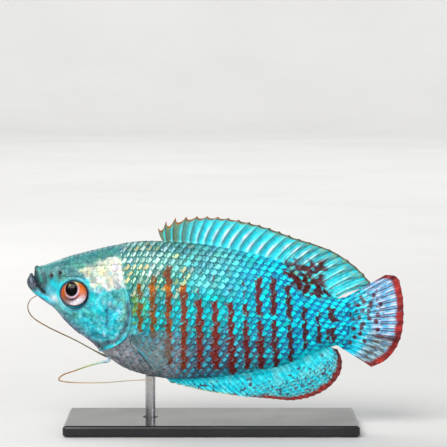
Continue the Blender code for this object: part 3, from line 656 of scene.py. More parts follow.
def paintAt(x, z, right):
    # skin and scales: ground colour, bar colour, bar share, spot colour, spot share
    shifted = x + np.where(right, markings["rightShift"], 0.0)

    def noise(size, seed):
        return grain(shifted, z, size, seed)

    wobble, wobble2 = (noise(1.1, seed) * 0.22 + noise(0.45, seed + 1) * 0.10 for seed in (11, 13))
    lift = liftAt(x, z)
    behind = x - gillAt(z)
    dx, dz = x - eye["at"][0], z - eye["at"][1]
    fromEye, angle = np.hypot(dx, dz), np.arctan2(dz, dx)
    nose = [np.hypot(x - nx, (z - nz) * 0.7) for nx, nz in nostrils]
    row = rowAt(x, z)
    z = z - markings["raised"] * np.sqrt(np.clip(1 - lift**2, 0, 1)) * ramp(x, 3, 9)
    lift = np.clip(lift + 0.12 * noise(4.0, 15), -1.1, 1.1)
    rear = ramp(x, 38, 52)

    ground = layers(
        ink(36, 162, 186), ((8, 122, 190), 0.85 * rear),
        ((98, 160, 164), 0.8 * ramp(x, 42, 26) * ramp(lift, 0.0, 0.5)),
        ((64, 128, 138), 0.85 * ramp(lift, 0.62, 0.85) * ramp(x, 50, 36)),
        ((70, 140, 112), 0.5 * ramp(x, 33, 27) * ramp(lift, -0.4, -0.2) * ramp(lift, 0.6, 0.4)),
        ((84, 98, 124), 0.95 * ramp(x, 23, 27) * ramp(x, 54, 44) * ramp(lift, -0.22, -0.55)),
        ((160, 158, 164), ramp(x, 35, 27) * ramp(lift, -0.34, -0.66)),
        ((26, 196, 214), 0.8 * ramp(lift, -0.86, -0.98) * ramp(x, 29, 33)),
        ((40, 170, 190), 0.6 * ramp(lift, 0.88, 0.99) * ramp(x, 34, 40)))
    spot = layers(
        ink(20, 232, 246), ((206, 238, 220), ramp(x, 34, 25) * ramp(lift, -0.1, 0.35)),
        ((140, 232, 240), 0.85 * bump(x, 37, 6) * ramp(lift, 0.1, 0.4)),
        ((90, 196, 234), 0.6 * ramp(lift, -0.35, -0.6) * ramp(x, 52, 42)), ((0, 244, 255), rear * 0.9))
    spotShare = 1 - 0.85 * ramp(lift, -0.45, -0.75) * ramp(x, 33, 25)
    spotShare = spotShare * (1 - 0.45 * ramp(lift, 0.7, 0.95) * ramp(x, 46, 34)) * ramp(behind, -0.5, 0.6)

    # bars, stepped from scale row to scale row
    phase = phaseAt(x + wobble * 0.35, z)
    jog = bars["jog"] * np.cos(math.pi * np.round(row))
    which = np.clip(np.round(phase).astype(int), 0, len(barPlaces) - 1)
    _, top, foot, half, gapAt = np.array(bars["rows"])[which].T
    off = np.abs((phase - which) * np.gradient(barPlaces)[which] + jog + 0.13 * noise(0.9, 16))
    reach = ramp(z + wobble2, top + 0.5, top - 0.5) * ramp(z + wobble2, foot - 0.6, foot + 0.6)
    reach = reach * (1 - 0.9 * bump(z, gapAt, 0.4))
    bead = 0.98 + 0.34 * np.abs(np.cos(math.pi * row)) + 0.2 * noise(1.4, 19)
    bar = reach * ramp(off, half * bead + 0.16, half * bead - 0.14) * ramp(behind, 0.2, 0.9)
    faint = 0.64 * ramp(noise(0.9, 25), -0.15, 0.2) * ramp(off, 0.55, 0.15) * ramp(x, 22, 26)
    bar = np.maximum(bar, faint * ramp(x, 60, 52) * ramp(lift, 0.95, 0.6) * ramp(lift, -0.1, 0.2))
    barTint = layers(
        ink(142, 86, 8), ((150, 58, 2), ramp(x, 24, 29)), ((148, 36, 0), ramp(x, 29, 34)),
        ((128, 20, 0), ramp(x, 35, 44)), ((88, 5, 0), ramp(x, 44, 54)),
        ((244, 134, 10), 0.95 * bump(z, 22.6, 0.6) * ramp(x, 33, 30) * ramp(x, 23, 25)),
        ((206, 110, 10), 0.8 * ramp(x, 33, 29) * ramp(noise(0.8, 20), 0.35, 0.6)),
        ((120, 92, 70), 0.55 * ramp(lift, 0.2, 0.5) * ramp(x, 46, 38)),
        ((116, 104, 92), 0.6 * ramp(z, 11.5, 9.0) * ramp(x, 31, 26)))

    # maroon patch at the foot of the dorsal fin, and loose blots
    maroon = insidePatch(x + wobble * 2, z + wobble2 * 2, maroonPatch, 0.5)
    maroon = maroon * (1 - 0.9 * ramp(noise(0.8, 27), 0.28, 0.46))
    ground = layers(
        ground, (tint["maroon"], 0.95 * maroon),
        ((70, 110, 150), 0.8 * maroon * ramp(noise(0.8, 17), 0.3, 0.6)))
    spotShare = spotShare * (1 - 0.8 * maroon * ramp(noise(1.5, 18), 0.35, 0.1))
    for px, pz in paleDots:
        ground = layers(ground, ((150, 236, 190), 0.9 * ramp(np.hypot(x - px, z - pz), 0.55, 0.25)))
    for path, width in bodyBlots:
        away, _ = alongPath(x + wobble, z + wobble2, path, 10)
        bar = np.maximum(bar, ramp(away, width + 0.2, width - 0.2))

    # head
    onHead = ramp(behind, 0.35, -0.25)
    mottle, fine, fleck = noise(0.62, 21), noise(0.28, 24), grain(shifted, z * 0.8, 0.34, 22)
    brow = z - 0.27 * x
    head = layers(
        ink(72, 220, 236), ((44, 128, 132), ramp(x, 8.5, 5.5) * ramp(z, 22.0, 24.0)),
        ((92, 156, 146), ramp(brow, 21.2, 22.8)),
        ((34, 84, 92), 0.5 * ramp(brow, 21.6, 22.8) * ramp(fine, 0.25, 0.7)),
        (tint["green"], 0.35 * ramp(mottle, 0.0, 0.6)),
        ((142, 232, 216), 0.55 * ramp(mottle + 0.4 * fleck, -0.05, -0.5) * ramp(brow, 20.2, 18.8)),
        ((16, 130, 150), 0.4 * ramp(mottle + 0.5 * fine, 0.3, 0.8)))
    for path, name, width, strength in headStrokes:
        away, _ = alongPath(x + wobble * 0.9, z + wobble2 * 0.9, path, 14)
        head = layers(head, (tint[name], strength * bump(away, 0, width * 1.15) * (1 + 0.25 * mottle)))
    cream = insidePatch(x + wobble * 2.6, z + wobble2 * 2.6, creamPatch, 0.42)
    cream = cream * (1 - 0.7 * ramp(noise(0.34, 23), 0.5, 0.8))
    head = blend(head, layers(ink(226, 230, 196), ((244, 238, 228), ramp(x, 14, 17.5))), cream)
    for px, pz in headDots:
        head = layers(head, ((74, 138, 112), 0.75 * ramp(np.hypot((x - px) * 0.8, z - pz), 0.27, 0.10)))
    cells = np.abs(np.sin(math.pi * (row + 0.5)) * np.sin(math.pi * (x / 1.3 + 0.5 * np.round(row))))
    cheek = ramp(brow, 20.2, 18.8) * ramp(x, 4, 6)
    rimBright = bump(fromEye, 3.22, 0.26) * ramp(np.cos(angle - math.radians(205)), 0.0, 0.6)
    rimDark = bump(fromEye, 3.02, 0.2) * ramp(np.cos(angle - math.radians(-30)), -0.2, 0.5)
    head = layers(
        head, ((128, 176, 156), 0.42 * cream * ramp(cells, 0.13, 0.04) * ramp(fine, -0.3, 0.4)),
        ((246, 226, 170), 0.35 * cream * ramp(mottle, 0.25, 0.7)),
        (tint["white"], 0.35 * ramp(fleck, 0.40, 0.75) * cheek),
        ((20, 116, 142), 0.42 * ramp(fleck, -0.40, -0.75) * (0.5 + 0.5 * cheek) * (1 - 0.8 * cream)),
        ((255, 252, 244), 0.55 * cream * ramp(mottle, 0.25, -0.3)), ((24, 232, 246), 0.95 * rimBright),
        # the last layer is painted shade: a dark ring in the gap between the eye and its socket
        ((48, 66, 92), 0.85 * rimDark), ((44, 60, 76), ramp(fromEye, 2.9, 2.75)))
    for away in nose:
        head = layers(head, ((70, 30, 30), 0.85 * ramp(away, 0.55, 0.15)))
    for path, name, width, strength in flankStrokes:
        away, _ = alongPath(x + wobble * 0.9, z + wobble2 * 0.9, path, 10)
        there = strength * bump(away, 0, width * 1.15)
        ground, spot = layers(ground, (tint[name], there)), blend(spot, ink(*tint[name]) * 1.4, there * 0.8)
    ground = blend(ground, head, onHead)
    warm = (ramp(x, 46, 30) * (1 - onHead) * ramp(lift, -0.55, -0.25))[..., None]
    ground = ground * (1 + warm * (markings["warmth"] - 1))
    return ground, barTint * markings["barLevel"], bar * (1 - onHead), spot, spotShare


def paintMouth(ground, x, z, rear, jaw):
    # dark lips with a painted green highlight down the upper lip, and painted shade, deep dark, in the gap
    # between them
    lipAway, _ = alongPath(x, z, mouth["lip"], 20)
    onLip = ramp(lipAway, 1.15, 0.65) * ramp(x, 4.3, 3.2)
    # painted highlight: a green-teal stripe of light down the upper lip
    glintStreak, _ = alongPath(x, z, [(2.3, 26.6), (2.6, 25.4), (2.9, 24.2)], 12)
    onJaw = ramp(jaw, 0.35, 0.05) * ramp(x, 2.9, 1.7) * ramp(z, 21.4, 22.6)
    gap = bump(rear - jaw, 0, 0.2) * ramp(z, 20.9, 22.0) * ramp(x, 4.6, 3.6)
    return layers(
        ground, ((38, 60, 74), 0.85 * onLip), ((46, 158, 146), 0.9 * bump(glintStreak, 0, 0.3)),
        ((58, 64, 84), 0.9 * onJaw), ((88, 84, 102), 0.6 * onJaw * bump(z, 23.6, 0.5)),
        ((132, 136, 150), 0.6 * np.maximum(onJaw, 0.6 * onLip) * ramp(grain(x, z, 0.26, 26), 0.25, 0.6)),
        # painted shade: near black deep in the gap between the lips
        ((12, 14, 20), 0.95 * gap))


flatX, flatZ, flatRear, flatJaw = (place.ravel() for place in skinPlaces)
flatSide = skinSpots[..., 1].ravel() > 0
ground, barTint, barShare, spotTint, spotShare = paintAt(flatX, flatZ, flatSide)
ground = paintMouth(ground, flatX, flatZ, flatRear, flatJaw)
print("markings worked out")


def addNode(tree, kind, inputs=None, **settings):
    # a node with its settings and inputs, each input a value or another node's output
    made = tree.nodes.new(kind if "Node" in kind else "ShaderNode" + kind)
    for key, value in settings.items():
        setattr(made, key, value)
    for socket, value in (inputs or {}).items():
        if isinstance(value, bpy.types.NodeSocket):
            tree.links.new(value, made.inputs[socket])
        else:
            made.inputs[socket].default_value = value
    return made


def newMaterial(name, settings):
    material = bpy.data.materials.new(name)
    material.use_nodes = True
    shader = material.node_tree.nodes["Principled BSDF"]
    for socket, value in settings.items():
        shader.inputs[socket].default_value = value
    return material, material.node_tree, shader


def noiseAt(tree, scale, detail, roughness=0.55, stretch=(1, 1, 1)):
    # noise over the object's own metres
    place = addNode(tree, "TexCoord").outputs["Object"]
    place = addNode(tree, "Mapping", {"Vector": place, "Scale": stretch}).outputs[0]
    inputs = {"Vector": place, "Scale": scale, "Detail": detail, "Roughness": roughness}
    return addNode(tree, "TexNoise", inputs).outputs[0]


def calc(tree, operation, *values):
    return addNode(tree, "Math", dict(enumerate(values)), operation=operation).outputs[0]


def mixColour(tree, share, a, b, how="MIX"):
    return addNode(tree, "Mix", {0: share, 6: a, 7: b}, data_type="RGBA", blend_type=how).outputs[2]


def toned(tree, base, share, colour, how="MULTIPLY"):
    # the base made darker or brighter by a colour
    return mixColour(tree, share, base, mixColour(tree, 1.0, base, colour + (1,), how))


def spread(tree, value, low, high, toLow=0.0, toHigh=1.0):
    inputs = {"Value": value, "From Min": low, "From Max": high, "To Min": toLow, "To Max": toHigh}
    return addNode(tree, "MapRange", inputs).outputs[0]


def attribute(tree, name, socket="Color"):
    return addNode(tree, "Attribute", attribute_name=name).outputs[socket]


def ragged(tree, value, noise, by):
    # a value made uneven by up to that much either way
    return calc(tree, "ADD", value, spread(tree, noise, 0.3, 0.7, -by, by))


def finishShader(tree, shader, colour, roughness, bumpHeight, bumpDistance, strength=0.6):
    tree.links.new(colour, shader.inputs["Base Color"])
    tree.links.new(roughness, shader.inputs["Roughness"])
    raised = addNode(tree, "Bump", {"Height": bumpHeight, "Distance": bumpDistance, "Strength": strength})
    tree.links.new(raised.outputs[0], shader.inputs["Normal"])


def skinMaterial():
    material, tree, shader = newMaterial("WetSkin", {
        "Metallic": 0.12, "Coat Weight": 0.12, "Coat Roughness": 0.12, "Specular IOR Level": 0.25,
    })
    fine, broad = noiseAt(tree, 2600, 4), noiseAt(tree, 700, 3)
    base = toned(tree, attribute(tree, "Paint"), spread(tree, broad, 0.62, 0.36), (0.62, 0.66, 0.70))
    base = toned(tree, base, spread(tree, fine, 0.56, 0.74, 0.0, 0.8), (0.10, 0.16, 0.16), "ADD")
    for name, by, low, high, most in (("Spot", 0.2, 0.35, 0.60, 0.9), ("Bar", 0.18, 0.34, 0.62, 0.94)):
        edge = ragged(tree, attribute(tree, name, "Fac"), fine, by)
        shown = spread(tree, edge, low, high, 0.0, most)
        base = mixColour(tree, shown, base, attribute(tree, name + "Tint"))
    finishShader(tree, shader, base, spread(tree, broad, 0.3, 0.7, 0.30, 0.46), fine, 0.00006)
    return material


def spotOnSkin(x, z):
    # soft slanting spot in the middle of each scale's place
    row = rowAt(x, z)
    jog = arcPlan["jog"] * np.cos(math.pi * np.round(row))
    column = (phaseAt(x + jog, z) - 0.38) * 2
    u = (column - np.round(column)) * 1.5
    v = (row - np.round(row)) * 1.3
    return ramp(np.hypot((u - 0.25 * v) / 0.24, v / 0.46), 1.25, 0.6)


def onRings(values):
    # flat values back on the skin's rings, with its ends
    return withEnds(values.reshape(skinSpots.shape[:2] + values.shape[1:]))


skin = makeMesh("skin", world(*withEnds(skinSpots).T), closedRings(*skinSpots.shape[:2]))
for name, values in (("Paint", ground), ("BarTint", barTint), ("SpotTint", spotTint)):
    addColour(skin, name, onRings(values))
addValue(skin, "Bar", onRings(barShare))
addValue(skin, "Spot", onRings(spotShare * spotOnSkin(flatX, flatZ)))
skin.data.materials.append(skinMaterial())
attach(skin, "root")
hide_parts("head", "trunk", "tail_stem", "gill_cover_left", "gill_cover_right", "upper_lip", "lower_jaw")
print("skin faces:", len(skin.data.polygons))


# The coat: one overlapping scale for each seed, laid out flat by Geometry Nodes and wrapped round the body
coatPlan = {
    "rowPitch": 1.44,  # of the flat plan
    "length": 2.2,
    "halfWidth": 1.02,
    "columns": 4,
    "steps": 6,
    "thick": 0.045,
    "liftFront": 0.01,
    "liftRear": 0.13,
    "crown": 0.045,
    "sunk": 0.012,
    "lastPlace": 63.9,
    "firstHead": 7.4,
    "lastHead": 19.9,
    "headStep": 1.26,
    "usualStep": 1.52,  # column pitch for a scale of the full length
    "seeds": {"coat_left": (7, 30), "coat_right": (23, 31)},  # for the tree, for the tones
}
bakePlan = {"from": 5.5, "length": 62.0, "lowest": 13.6, "rows": 25.0, "patch": 0.40}


def makeScale():
    # rounded behind, narrow in front, closed underneath, a few dozen faces
    plan = coatPlan
    along = np.linspace(0, 1, plan["steps"] + 1) ** 0.85
    t, s = np.meshgrid(along, np.linspace(-1, 1, plan["columns"] + 1), indexing="ij")
    rounded = np.sqrt(np.clip(1 - (np.clip(t - 0.5, 0, 1) / 0.52) ** 2.2, 0.0, 1))
    width = plan["halfWidth"] * rounded * (0.72 + 0.28 * ramp(t, 0, 0.5))
    width = np.where(t > 0.99, plan["halfWidth"] * 0.42, width)
    x = (t - 0.62) * plan["length"] - 0.16 * plan["length"] * (s**2) * ramp(t, 0.55, 1.0)
    rise = plan["liftFront"] + (plan["liftRear"] - plan["liftFront"]) * t
    rise = rise + plan["crown"] * (1 - s**2) * np.sin(math.pi * t)
    top = np.stack([x, s * width, rise], -1).reshape(-1, 3)
    scale = makeMesh("scaleShape", np.concatenate([top, top - (0, 0, plan["thick"])]), sheetFaces(*t.shape))
    return scale, np.tile(s.ravel(), 2), np.tile(t.ravel(), 2), np.repeat([0, 1], t.size)


def scatterTree(material):
    # an instance of the shape on each seed, a little turned and sized by chance, then made real
    tree = bpy.data.node_groups.new("layScales", "GeometryNodeTree")
    kinds = {"Seeds": "Geometry", "Shape": "Object", "Seed": "Int", "Turn": "Float", "Spread": "Float"}
    for name, kind in kinds.items():
        tree.interface.new_socket(name, in_out="INPUT", socket_type="NodeSocket" + kind)
    tree.interface.new_socket("Scales", in_out="OUTPUT", socket_type="NodeSocketGeometry")
    given = addNode(tree, "NodeGroupInput").outputs

    def chance(low, high):
        inputs = {2: low, 3: high, "Seed": given["Seed"]}
        return addNode(tree, "FunctionNodeRandomValue", inputs, data_type="FLOAT").outputs[1]

    shape = addNode(tree, "GeometryNodeObjectInfo", {"Object": given["Shape"]}).outputs["Geometry"]
    stretch = addNode(tree, "GeometryNodeInputNamedAttribute", {"Name": "stretch"}, data_type="FLOAT_VECTOR")
    size = chance(*(calc(tree, kind, 1.0, given["Spread"]) for kind in ("SUBTRACT", "ADD")))
    turn = chance(calc(tree, "MULTIPLY", given["Turn"], -1.0), given["Turn"])
    spin = addNode(tree, "CombineXYZ", {"Z": turn})
    scaled = addNode(tree, "VectorMath", {0: stretch.outputs["Attribute"], "Scale": size}, operation="SCALE")
    laid = addNode(tree, "GeometryNodeInstanceOnPoints", {
        "Points": given["Seeds"], "Instance": shape, "Rotation": spin.outputs[0], "Scale": scaled.outputs[0],
    })
    real = addNode(tree, "GeometryNodeRealizeInstances", {0: laid.outputs[0]})
    painted = addNode(tree, "GeometryNodeSetMaterial", {"Geometry": real.outputs[0], "Material": material})
    addNode(tree, "NodeGroupOutput", {0: painted.outputs[0]})
    return tree


def seedPlaces(right):
    # columns follow the bars behind the gill cover and close up towards the snout on the head
    seeds = []
    phases = np.arange(-2.0, 17.0, 0.5) + 0.38
    last = len(barPlaces) - 1
    inside = np.interp(phases, np.arange(last + 1), barPlaces)
    before = barPlaces[0] + phases * (barPlaces[1] - barPlaces[0])
    beyond = barPlaces[-1] + (phases - last) * (barPlaces[-1] - barPlaces[-2])
    mids = np.where(phases < 0, before, np.where(phases > last, beyond, inside))
    for row in np.arange(-arcPlan["downRows"], arcPlan["upRows"] + 1):
        jog = -arcPlan["jog"] * math.cos(math.pi * row)
        for mid, step in zip(mids, np.gradient(mids)):
            x = mid + jog
            for _ in range(3):
                z = heightOn(x, row)
                x = mid + jog + bars["lean"] * float(ramp(mid, 30, 46)) * (bars["midHeight"] - z)
            seeds.append((x, row, z, step, 0))
        place, step = coatPlan["lastHead"], coatPlan["headStep"]
        while place > coatPlan["firstHead"]:
            x = place + jog * 1.2
            seeds.append((x, row, heightOn(x, row), step, 1))
            place -= step
            step = max(step * 0.955, 0.86)
    seeds = np.array(seeds)
    x, row, z, step, onHead = seeds.T
    behind = x - gillAt(z)
    fromEye = np.hypot(x - eye["at"][0], z - eye["at"][1])
    rearEdge = coatPlan["lastPlace"] + 0.9 * np.cos(row * 2.1)
    keep = np.abs(row) < rowsIn(x, row) - (0.02 if right else -0.02)
    keep &= np.where(onHead > 0, (behind < -0.95) & (fromEye > 3.95), (behind > 0.55) & (x < rearEdge))
    keep &= (onHead == 0) | (z > 13.6)
    return seeds[keep]


def wrapOnBody(x, row, up, right, onHead):
    # flat plan to body: out along the skin's normal, and over the midline where a scale crosses it
    total = rowsIn(x, row)
    crossed = np.abs(row) > total
    turn = turnOfRow(x, np.where(crossed, np.sign(row) * (2 * total - np.abs(row)), row))
    inset = coatInset(x) - coatPlan["sunk"]

    def spot(x, turn):
        y, z = sectionSpot(x, turn, inset)
        return np.stack([x, y, z], -1)

    here = spot(x, turn)
    along = spot(x + 0.05, turn) - spot(x - 0.05, turn)
    around = spot(x, np.minimum(turn + 0.012, 1)) - spot(x, np.maximum(turn - 0.012, -1))
    normal = unit(np.cross(along, around))
    normal *= np.where(normal[:, 1] < 0, -1.0, 1.0)[:, None]
    line = gillAt(here[:, 2])
    readAt = np.where(onHead > 0, np.minimum(x, line - 0.12), np.maximum(x, line + 0.34))
    raised = reliefAt(readAt, here[:, 2]) + up * (1 - 0.62 * ramp(x, 58, 64))
    spots = here + normal * raised[:, None]
    spots[:, 1] *= np.where(crossed, -1.0, 1.0) * (1.0 if right else -1.0)
    return spots, here[:, 2]


def coatMaterial():
    material, tree, shader = newMaterial("GlossScales", {
        "Metallic": 0.1, "Coat Weight": 0.05, "Coat Roughness": 0.1, "Specular IOR Level": 0.16,
    })
    fine, broad = noiseAt(tree, 2900, 4), noiseAt(tree, 800, 2)
    names = ("Across", "Along", "SpotTall", "SpotWide", "Spot", "Second", "Bar")
    side, back, spotTall, spotWide, spot, second, bar = (attribute(tree, name, "Fac") for name in names)
    spotTint = attribute(tree, "SpotTint")
    base = toned(tree, attribute(tree, "Paint"), spread(tree, broad, 0.6, 0.38), (0.55, 0.62, 0.68))
    # painted sparkle: fine specks brightened with cyan, standing in for glints of light on the scales
    base = toned(tree, base, spread(tree, fine, 0.54, 0.72, 0.0, 0.9), (0.05, 0.22, 0.25), "ADD")
    slant = calc(tree, "MULTIPLY_ADD", side, -0.19, back)

    def dash(middle, flatten, tall):
        # how far from the middle of a dash across the scale, 1 on its edge
        wide = calc(tree, "DIVIDE", calc(tree, "SUBTRACT", slant, middle), spotWide)
        wide = calc(tree, "MULTIPLY", wide, flatten) if flatten else wide
        reach = calc(tree, "MULTIPLY_ADD", wide, wide, calc(tree, "MULTIPLY", tall, tall))
        return ragged(tree, reach, fine, 0.65)

    front = dash(0.44, 1.7, calc(tree, "MULTIPLY_ADD", side, 2.3, 1.05))
    front = calc(tree, "MULTIPLY", spread(tree, front, 1.1, 0.5, 0.0, 0.8), second)
    shown = spread(tree, dash(0.72, None, calc(tree, "DIVIDE", side, spotTall)), 1.15, 0.55)
    shown = calc(tree, "MULTIPLY", shown, spot)
    base = mixColour(tree, shown, mixColour(tree, front, base, spotTint), spotTint)
    edge = calc(tree, "MULTIPLY_ADD", shown, -0.42, ragged(tree, bar, fine, 0.09))
    base = mixColour(tree, spread(tree, edge, 0.34, 0.60, 0.0, 0.95), base, attribute(tree, "BarTint"))
    # painted shade: each scale made darker along its rear edge, so the edges read as shaded
    base = toned(tree, base, spread(tree, back, 0.94, 0.99, 0.0, 0.4), (0.42, 0.46, 0.52))
    rings = calc(tree, "SINE", calc(tree, "MULTIPLY", back, 62.0))
    height = calc(tree, "MULTIPLY_ADD", rings, 0.25, fine)
    finishShader(tree, shader, base, spread(tree, broad, 0.3, 0.7, 0.24, 0.40), height, 0.00004, 0.7)
    return material


def laySeeds(name, seeds, scale, material, seed):
    # the flat coat: seeds, the tree on them, and its evaluated mesh as a new piece
    x, row, _, step, onHead = seeds.T
    mesh = bpy.data.meshes.new(name + "Seeds")
    mesh.from_pydata(np.stack([x, row * coatPlan["rowPitch"], np.zeros(len(x))], -1).tolist(), [], [])
    stretch = np.stack([step / coatPlan["usualStep"], np.ones(len(x)), np.where(onHead > 0, 0.45, 1.0)], -1)
    layer = mesh.attributes.new("stretch", "FLOAT_VECTOR", "POINT")
    layer.data.foreach_set("vector", stretch.astype(np.float32).ravel())
    layer = mesh.attributes.new("seedNumber", "FLOAT", "POINT")
    layer.data.foreach_set("value", np.arange(len(x), dtype=np.float32))
    holder = bpy.data.objects.new(name + "Seeds", mesh)
    bpy.context.scene.collection.objects.link(holder)
    tree = scatterTree(material)
    layer = holder.modifiers.new("layScales", "NODES")
    layer.node_group = tree
    sockets = {item.name: item.identifier for item in tree.interface.items_tree if item.in_out == "INPUT"}
    for key, value in (("Shape", scale), ("Seed", seed), ("Turn", 0.05), ("Spread", 0.05)):
        layer[sockets[key]] = value
    bpy.context.view_layer.update()
    ready = holder.evaluated_get(bpy.context.evaluated_depsgraph_get())
    coat = bpy.data.objects.new(name, bpy.data.meshes.new_from_object(ready))
    coat.data.name = name
    bpy.context.scene.collection.objects.link(coat)
    bpy.data.objects.remove(holder, do_unlink=True)
    return coat


def buildCoat(name, right, template, material):
    scale, across, along, under = template
    seeds = seedPlaces(right)
    x, row, z, step, onHead = seeds.T
    treeSeed, toneSeed = coatPlan["seeds"][name]
    coat = laySeeds(name, seeds, scale, material, treeSeed)
    count = len(coat.data.vertices)
    flat, number = np.zeros(count * 3, np.float32), np.zeros(count, np.float32)
    coat.data.vertices.foreach_get("co", flat)
    coat.data.attributes["seedNumber"].data.foreach_get("value", number)
    number = np.round(number).astype(int)
    flatX, flatY, up = flat.reshape(-1, 3).astype(float).T
    spots, heights = wrapOnBody(flatX, flatY / coatPlan["rowPitch"], up, right, onHead[number])
    coat.data.vertices.foreach_set("co", world(*spots.T).astype(np.float32).ravel())
    coat.data.update()
    ground, barTint, bar, _, _ = paintAt(flatX, heights, np.full(count, right))
    _, _, _, spotTint, spotShare = paintAt(x + 0.35, z, np.full(len(x), right))

    # each scale has its own tone, dash size and strength
    rng = np.random.default_rng(toneSeed)
    spotShare = spotShare * np.where(onHead > 0, 0.0, 1.0) * np.clip(rng.uniform(0.45, 1.3, len(x)), 0, 1)
    lift = liftAt(x, z)
    calm = 1 - 0.75 * ramp(lift, -0.3, -0.6)
    tone = rng.uniform(0.74, 1.16, len(x))[:, None]
    tone = tone * (1 + calm[:, None] * rng.uniform(-0.10, 0.10, (len(x), 3)))
    warm = ramp(x, 36, 30) * ramp(lift, -0.05, 0.2) * (rng.random(len(x)) < 0.3)
    spotTint = layers(spotTint, ((226, 208, 128), 0.8 * warm))
    low = ramp(lift, -0.25, -0.6) * ramp(x, 54, 44)
    wide = 0.155 + 0.04 * ramp(x, 28, 38) + 0.05 * ramp(x, 43, 54) - 0.015 * low
    wide = wide * rng.uniform(0.70, 1.30, len(x))
    tall = (0.80 + 0.10 * ramp(lift, 0.0, 0.4) - 0.10 * low) * rng.uniform(0.75, 1.25, len(x))
    places = np.arange(count) % len(across)
    across, along, under = across[places], along[places], under[places] > 0
    addColour(coat, "Paint", ground * tone[number])
    addColour(coat, "BarTint", barTint)
    addColour(coat, "SpotTint", (spotTint * tone)[number])
    values = {
        "Bar": bar, "Spot": spotShare[number], "Across": across, "Along": along,
        "Second": (spotShare * (1 - 0.8 * low))[number], "SpotWide": wide[number], "SpotTall": tall[number],
    }
    for key, held in values.items():
        addValue(coat, key, held)

    # baked map: each scale has a patch at its place on the skin's unwrap, and a small one for its underside
    patchU = bakePlan["patch"] * step[number] / bakePlan["length"]
    patchV = bakePlan["patch"] / bakePlan["rows"]
    u = (x[number] - bakePlan["from"]) / bakePlan["length"]
    u = u + (along - 0.5) * 2 * patchU * np.where(under, 0.1, 0.92)
    v = (row[number] + bakePlan["lowest"]) / bakePlan["rows"] + across * patchV * np.where(under, 0.05, 0.9)
    addMap(coat, np.stack([u, v + np.where(under, 1.12 * patchV, 0)], -1))
    coat.data.shade_smooth()
    coat.data.materials.clear()
    coat.data.materials.append(material)
    coat.data.polygons.foreach_set("material_index", np.zeros(len(coat.data.polygons), np.int32))
    for extra in ("stretch", "seedNumber"):
        if extra in coat.data.attributes:
            coat.data.attributes.remove(coat.data.attributes[extra])
    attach(coat, "root")
    print(name, "scales:", len(x), "faces:", len(coat.data.polygons))


template = makeScale()
scaleMaterial = coatMaterial()
buildCoat("coat_left", False, template, scaleMaterial)
buildCoat("coat_right", True, template, scaleMaterial)
bpy.data.objects.remove(template[0], do_unlink=True)
print("coat laid")


# Fins: thin sheets with raised, branching rays. A ray: where it leaves the body, then its tip, in mm
finPlans = {
    "dorsal_fin": {
        "rays": [
            (26.7, 26.0, 34.5), (27.8, 27.8, 36.0), (31.8, 33.0, 36.8), (35.6, 38.4, 36.7),
            (42.4, 46.5, 35.1), (49.6, 54.0, 32.4), (55.6, 62.0, 29.2), (60.2, 67.2, 24.9),
            (61.6, 68.3, 23.4), (62.3, 66.8, 22.4),
        ],
        "count": 24, "spiny": 0.60, "notch": 0.13, "bow": 0.05, "wave": (0.35, 1.3, 0.6), "pleat": 0.10,
        "seed": 10,
    },
    "anal_fin": {
        "rays": [
            (28.0, 29.0, 3.5), (32.6, 35.2, 1.9), (37.6, 41.2, 1.0), (43.6, 48.2, 0.3),
            (48.6, 53.6, 0.0), (52.2, 57.8, 1.1), (55.2, 60.8, 3.1), (57.8, 62.5, 5.8),
            (59.6, 62.6, 8.2), (60.8, 61.7, 10.3),
        ],
        "count": 31, "spiny": 0.52, "notch": 0.07, "bow": -0.05, "wave": (0.4, 1.1, 2.2), "pleat": 0.08,
        "seed": 8,
    },
    "caudal_fin": {
        "rays": [
            (20.3, 71.2, 25.2), (19.2, 73.3, 24.9), (17.8, 74.6, 21.6), (16.5, 74.9, 18.0),
            (15.3, 74.8, 15.2), (14.2, 74.4, 12.9), (13.2, 73.2, 10.3), (11.8, 71.2, 8.2),
            (10.5, 68.4, 6.9),
        ],
        "count": 15, "spiny": -1.0, "notch": 0.008, "bow": 0.0, "wave": (0.3, 1.0, 0.0), "pleat": 0.09,
        "seed": 10,
    },
    "pectoral_fin_left": {"count": 10, "spiny": -1.0, "notch": 0.07, "pleat": 0.06, "side": -1, "seed": 17},
    "pectoral_fin_right": {"count": 10, "spiny": -1.0, "notch": 0.07, "pleat": 0.06, "side": 1, "seed": 18},
}
pectoral = {"top": (20.9, 13.6), "low": (21.2, 11.9), "length": 8.9, "from": 13, "to": -52, "flare": 17}


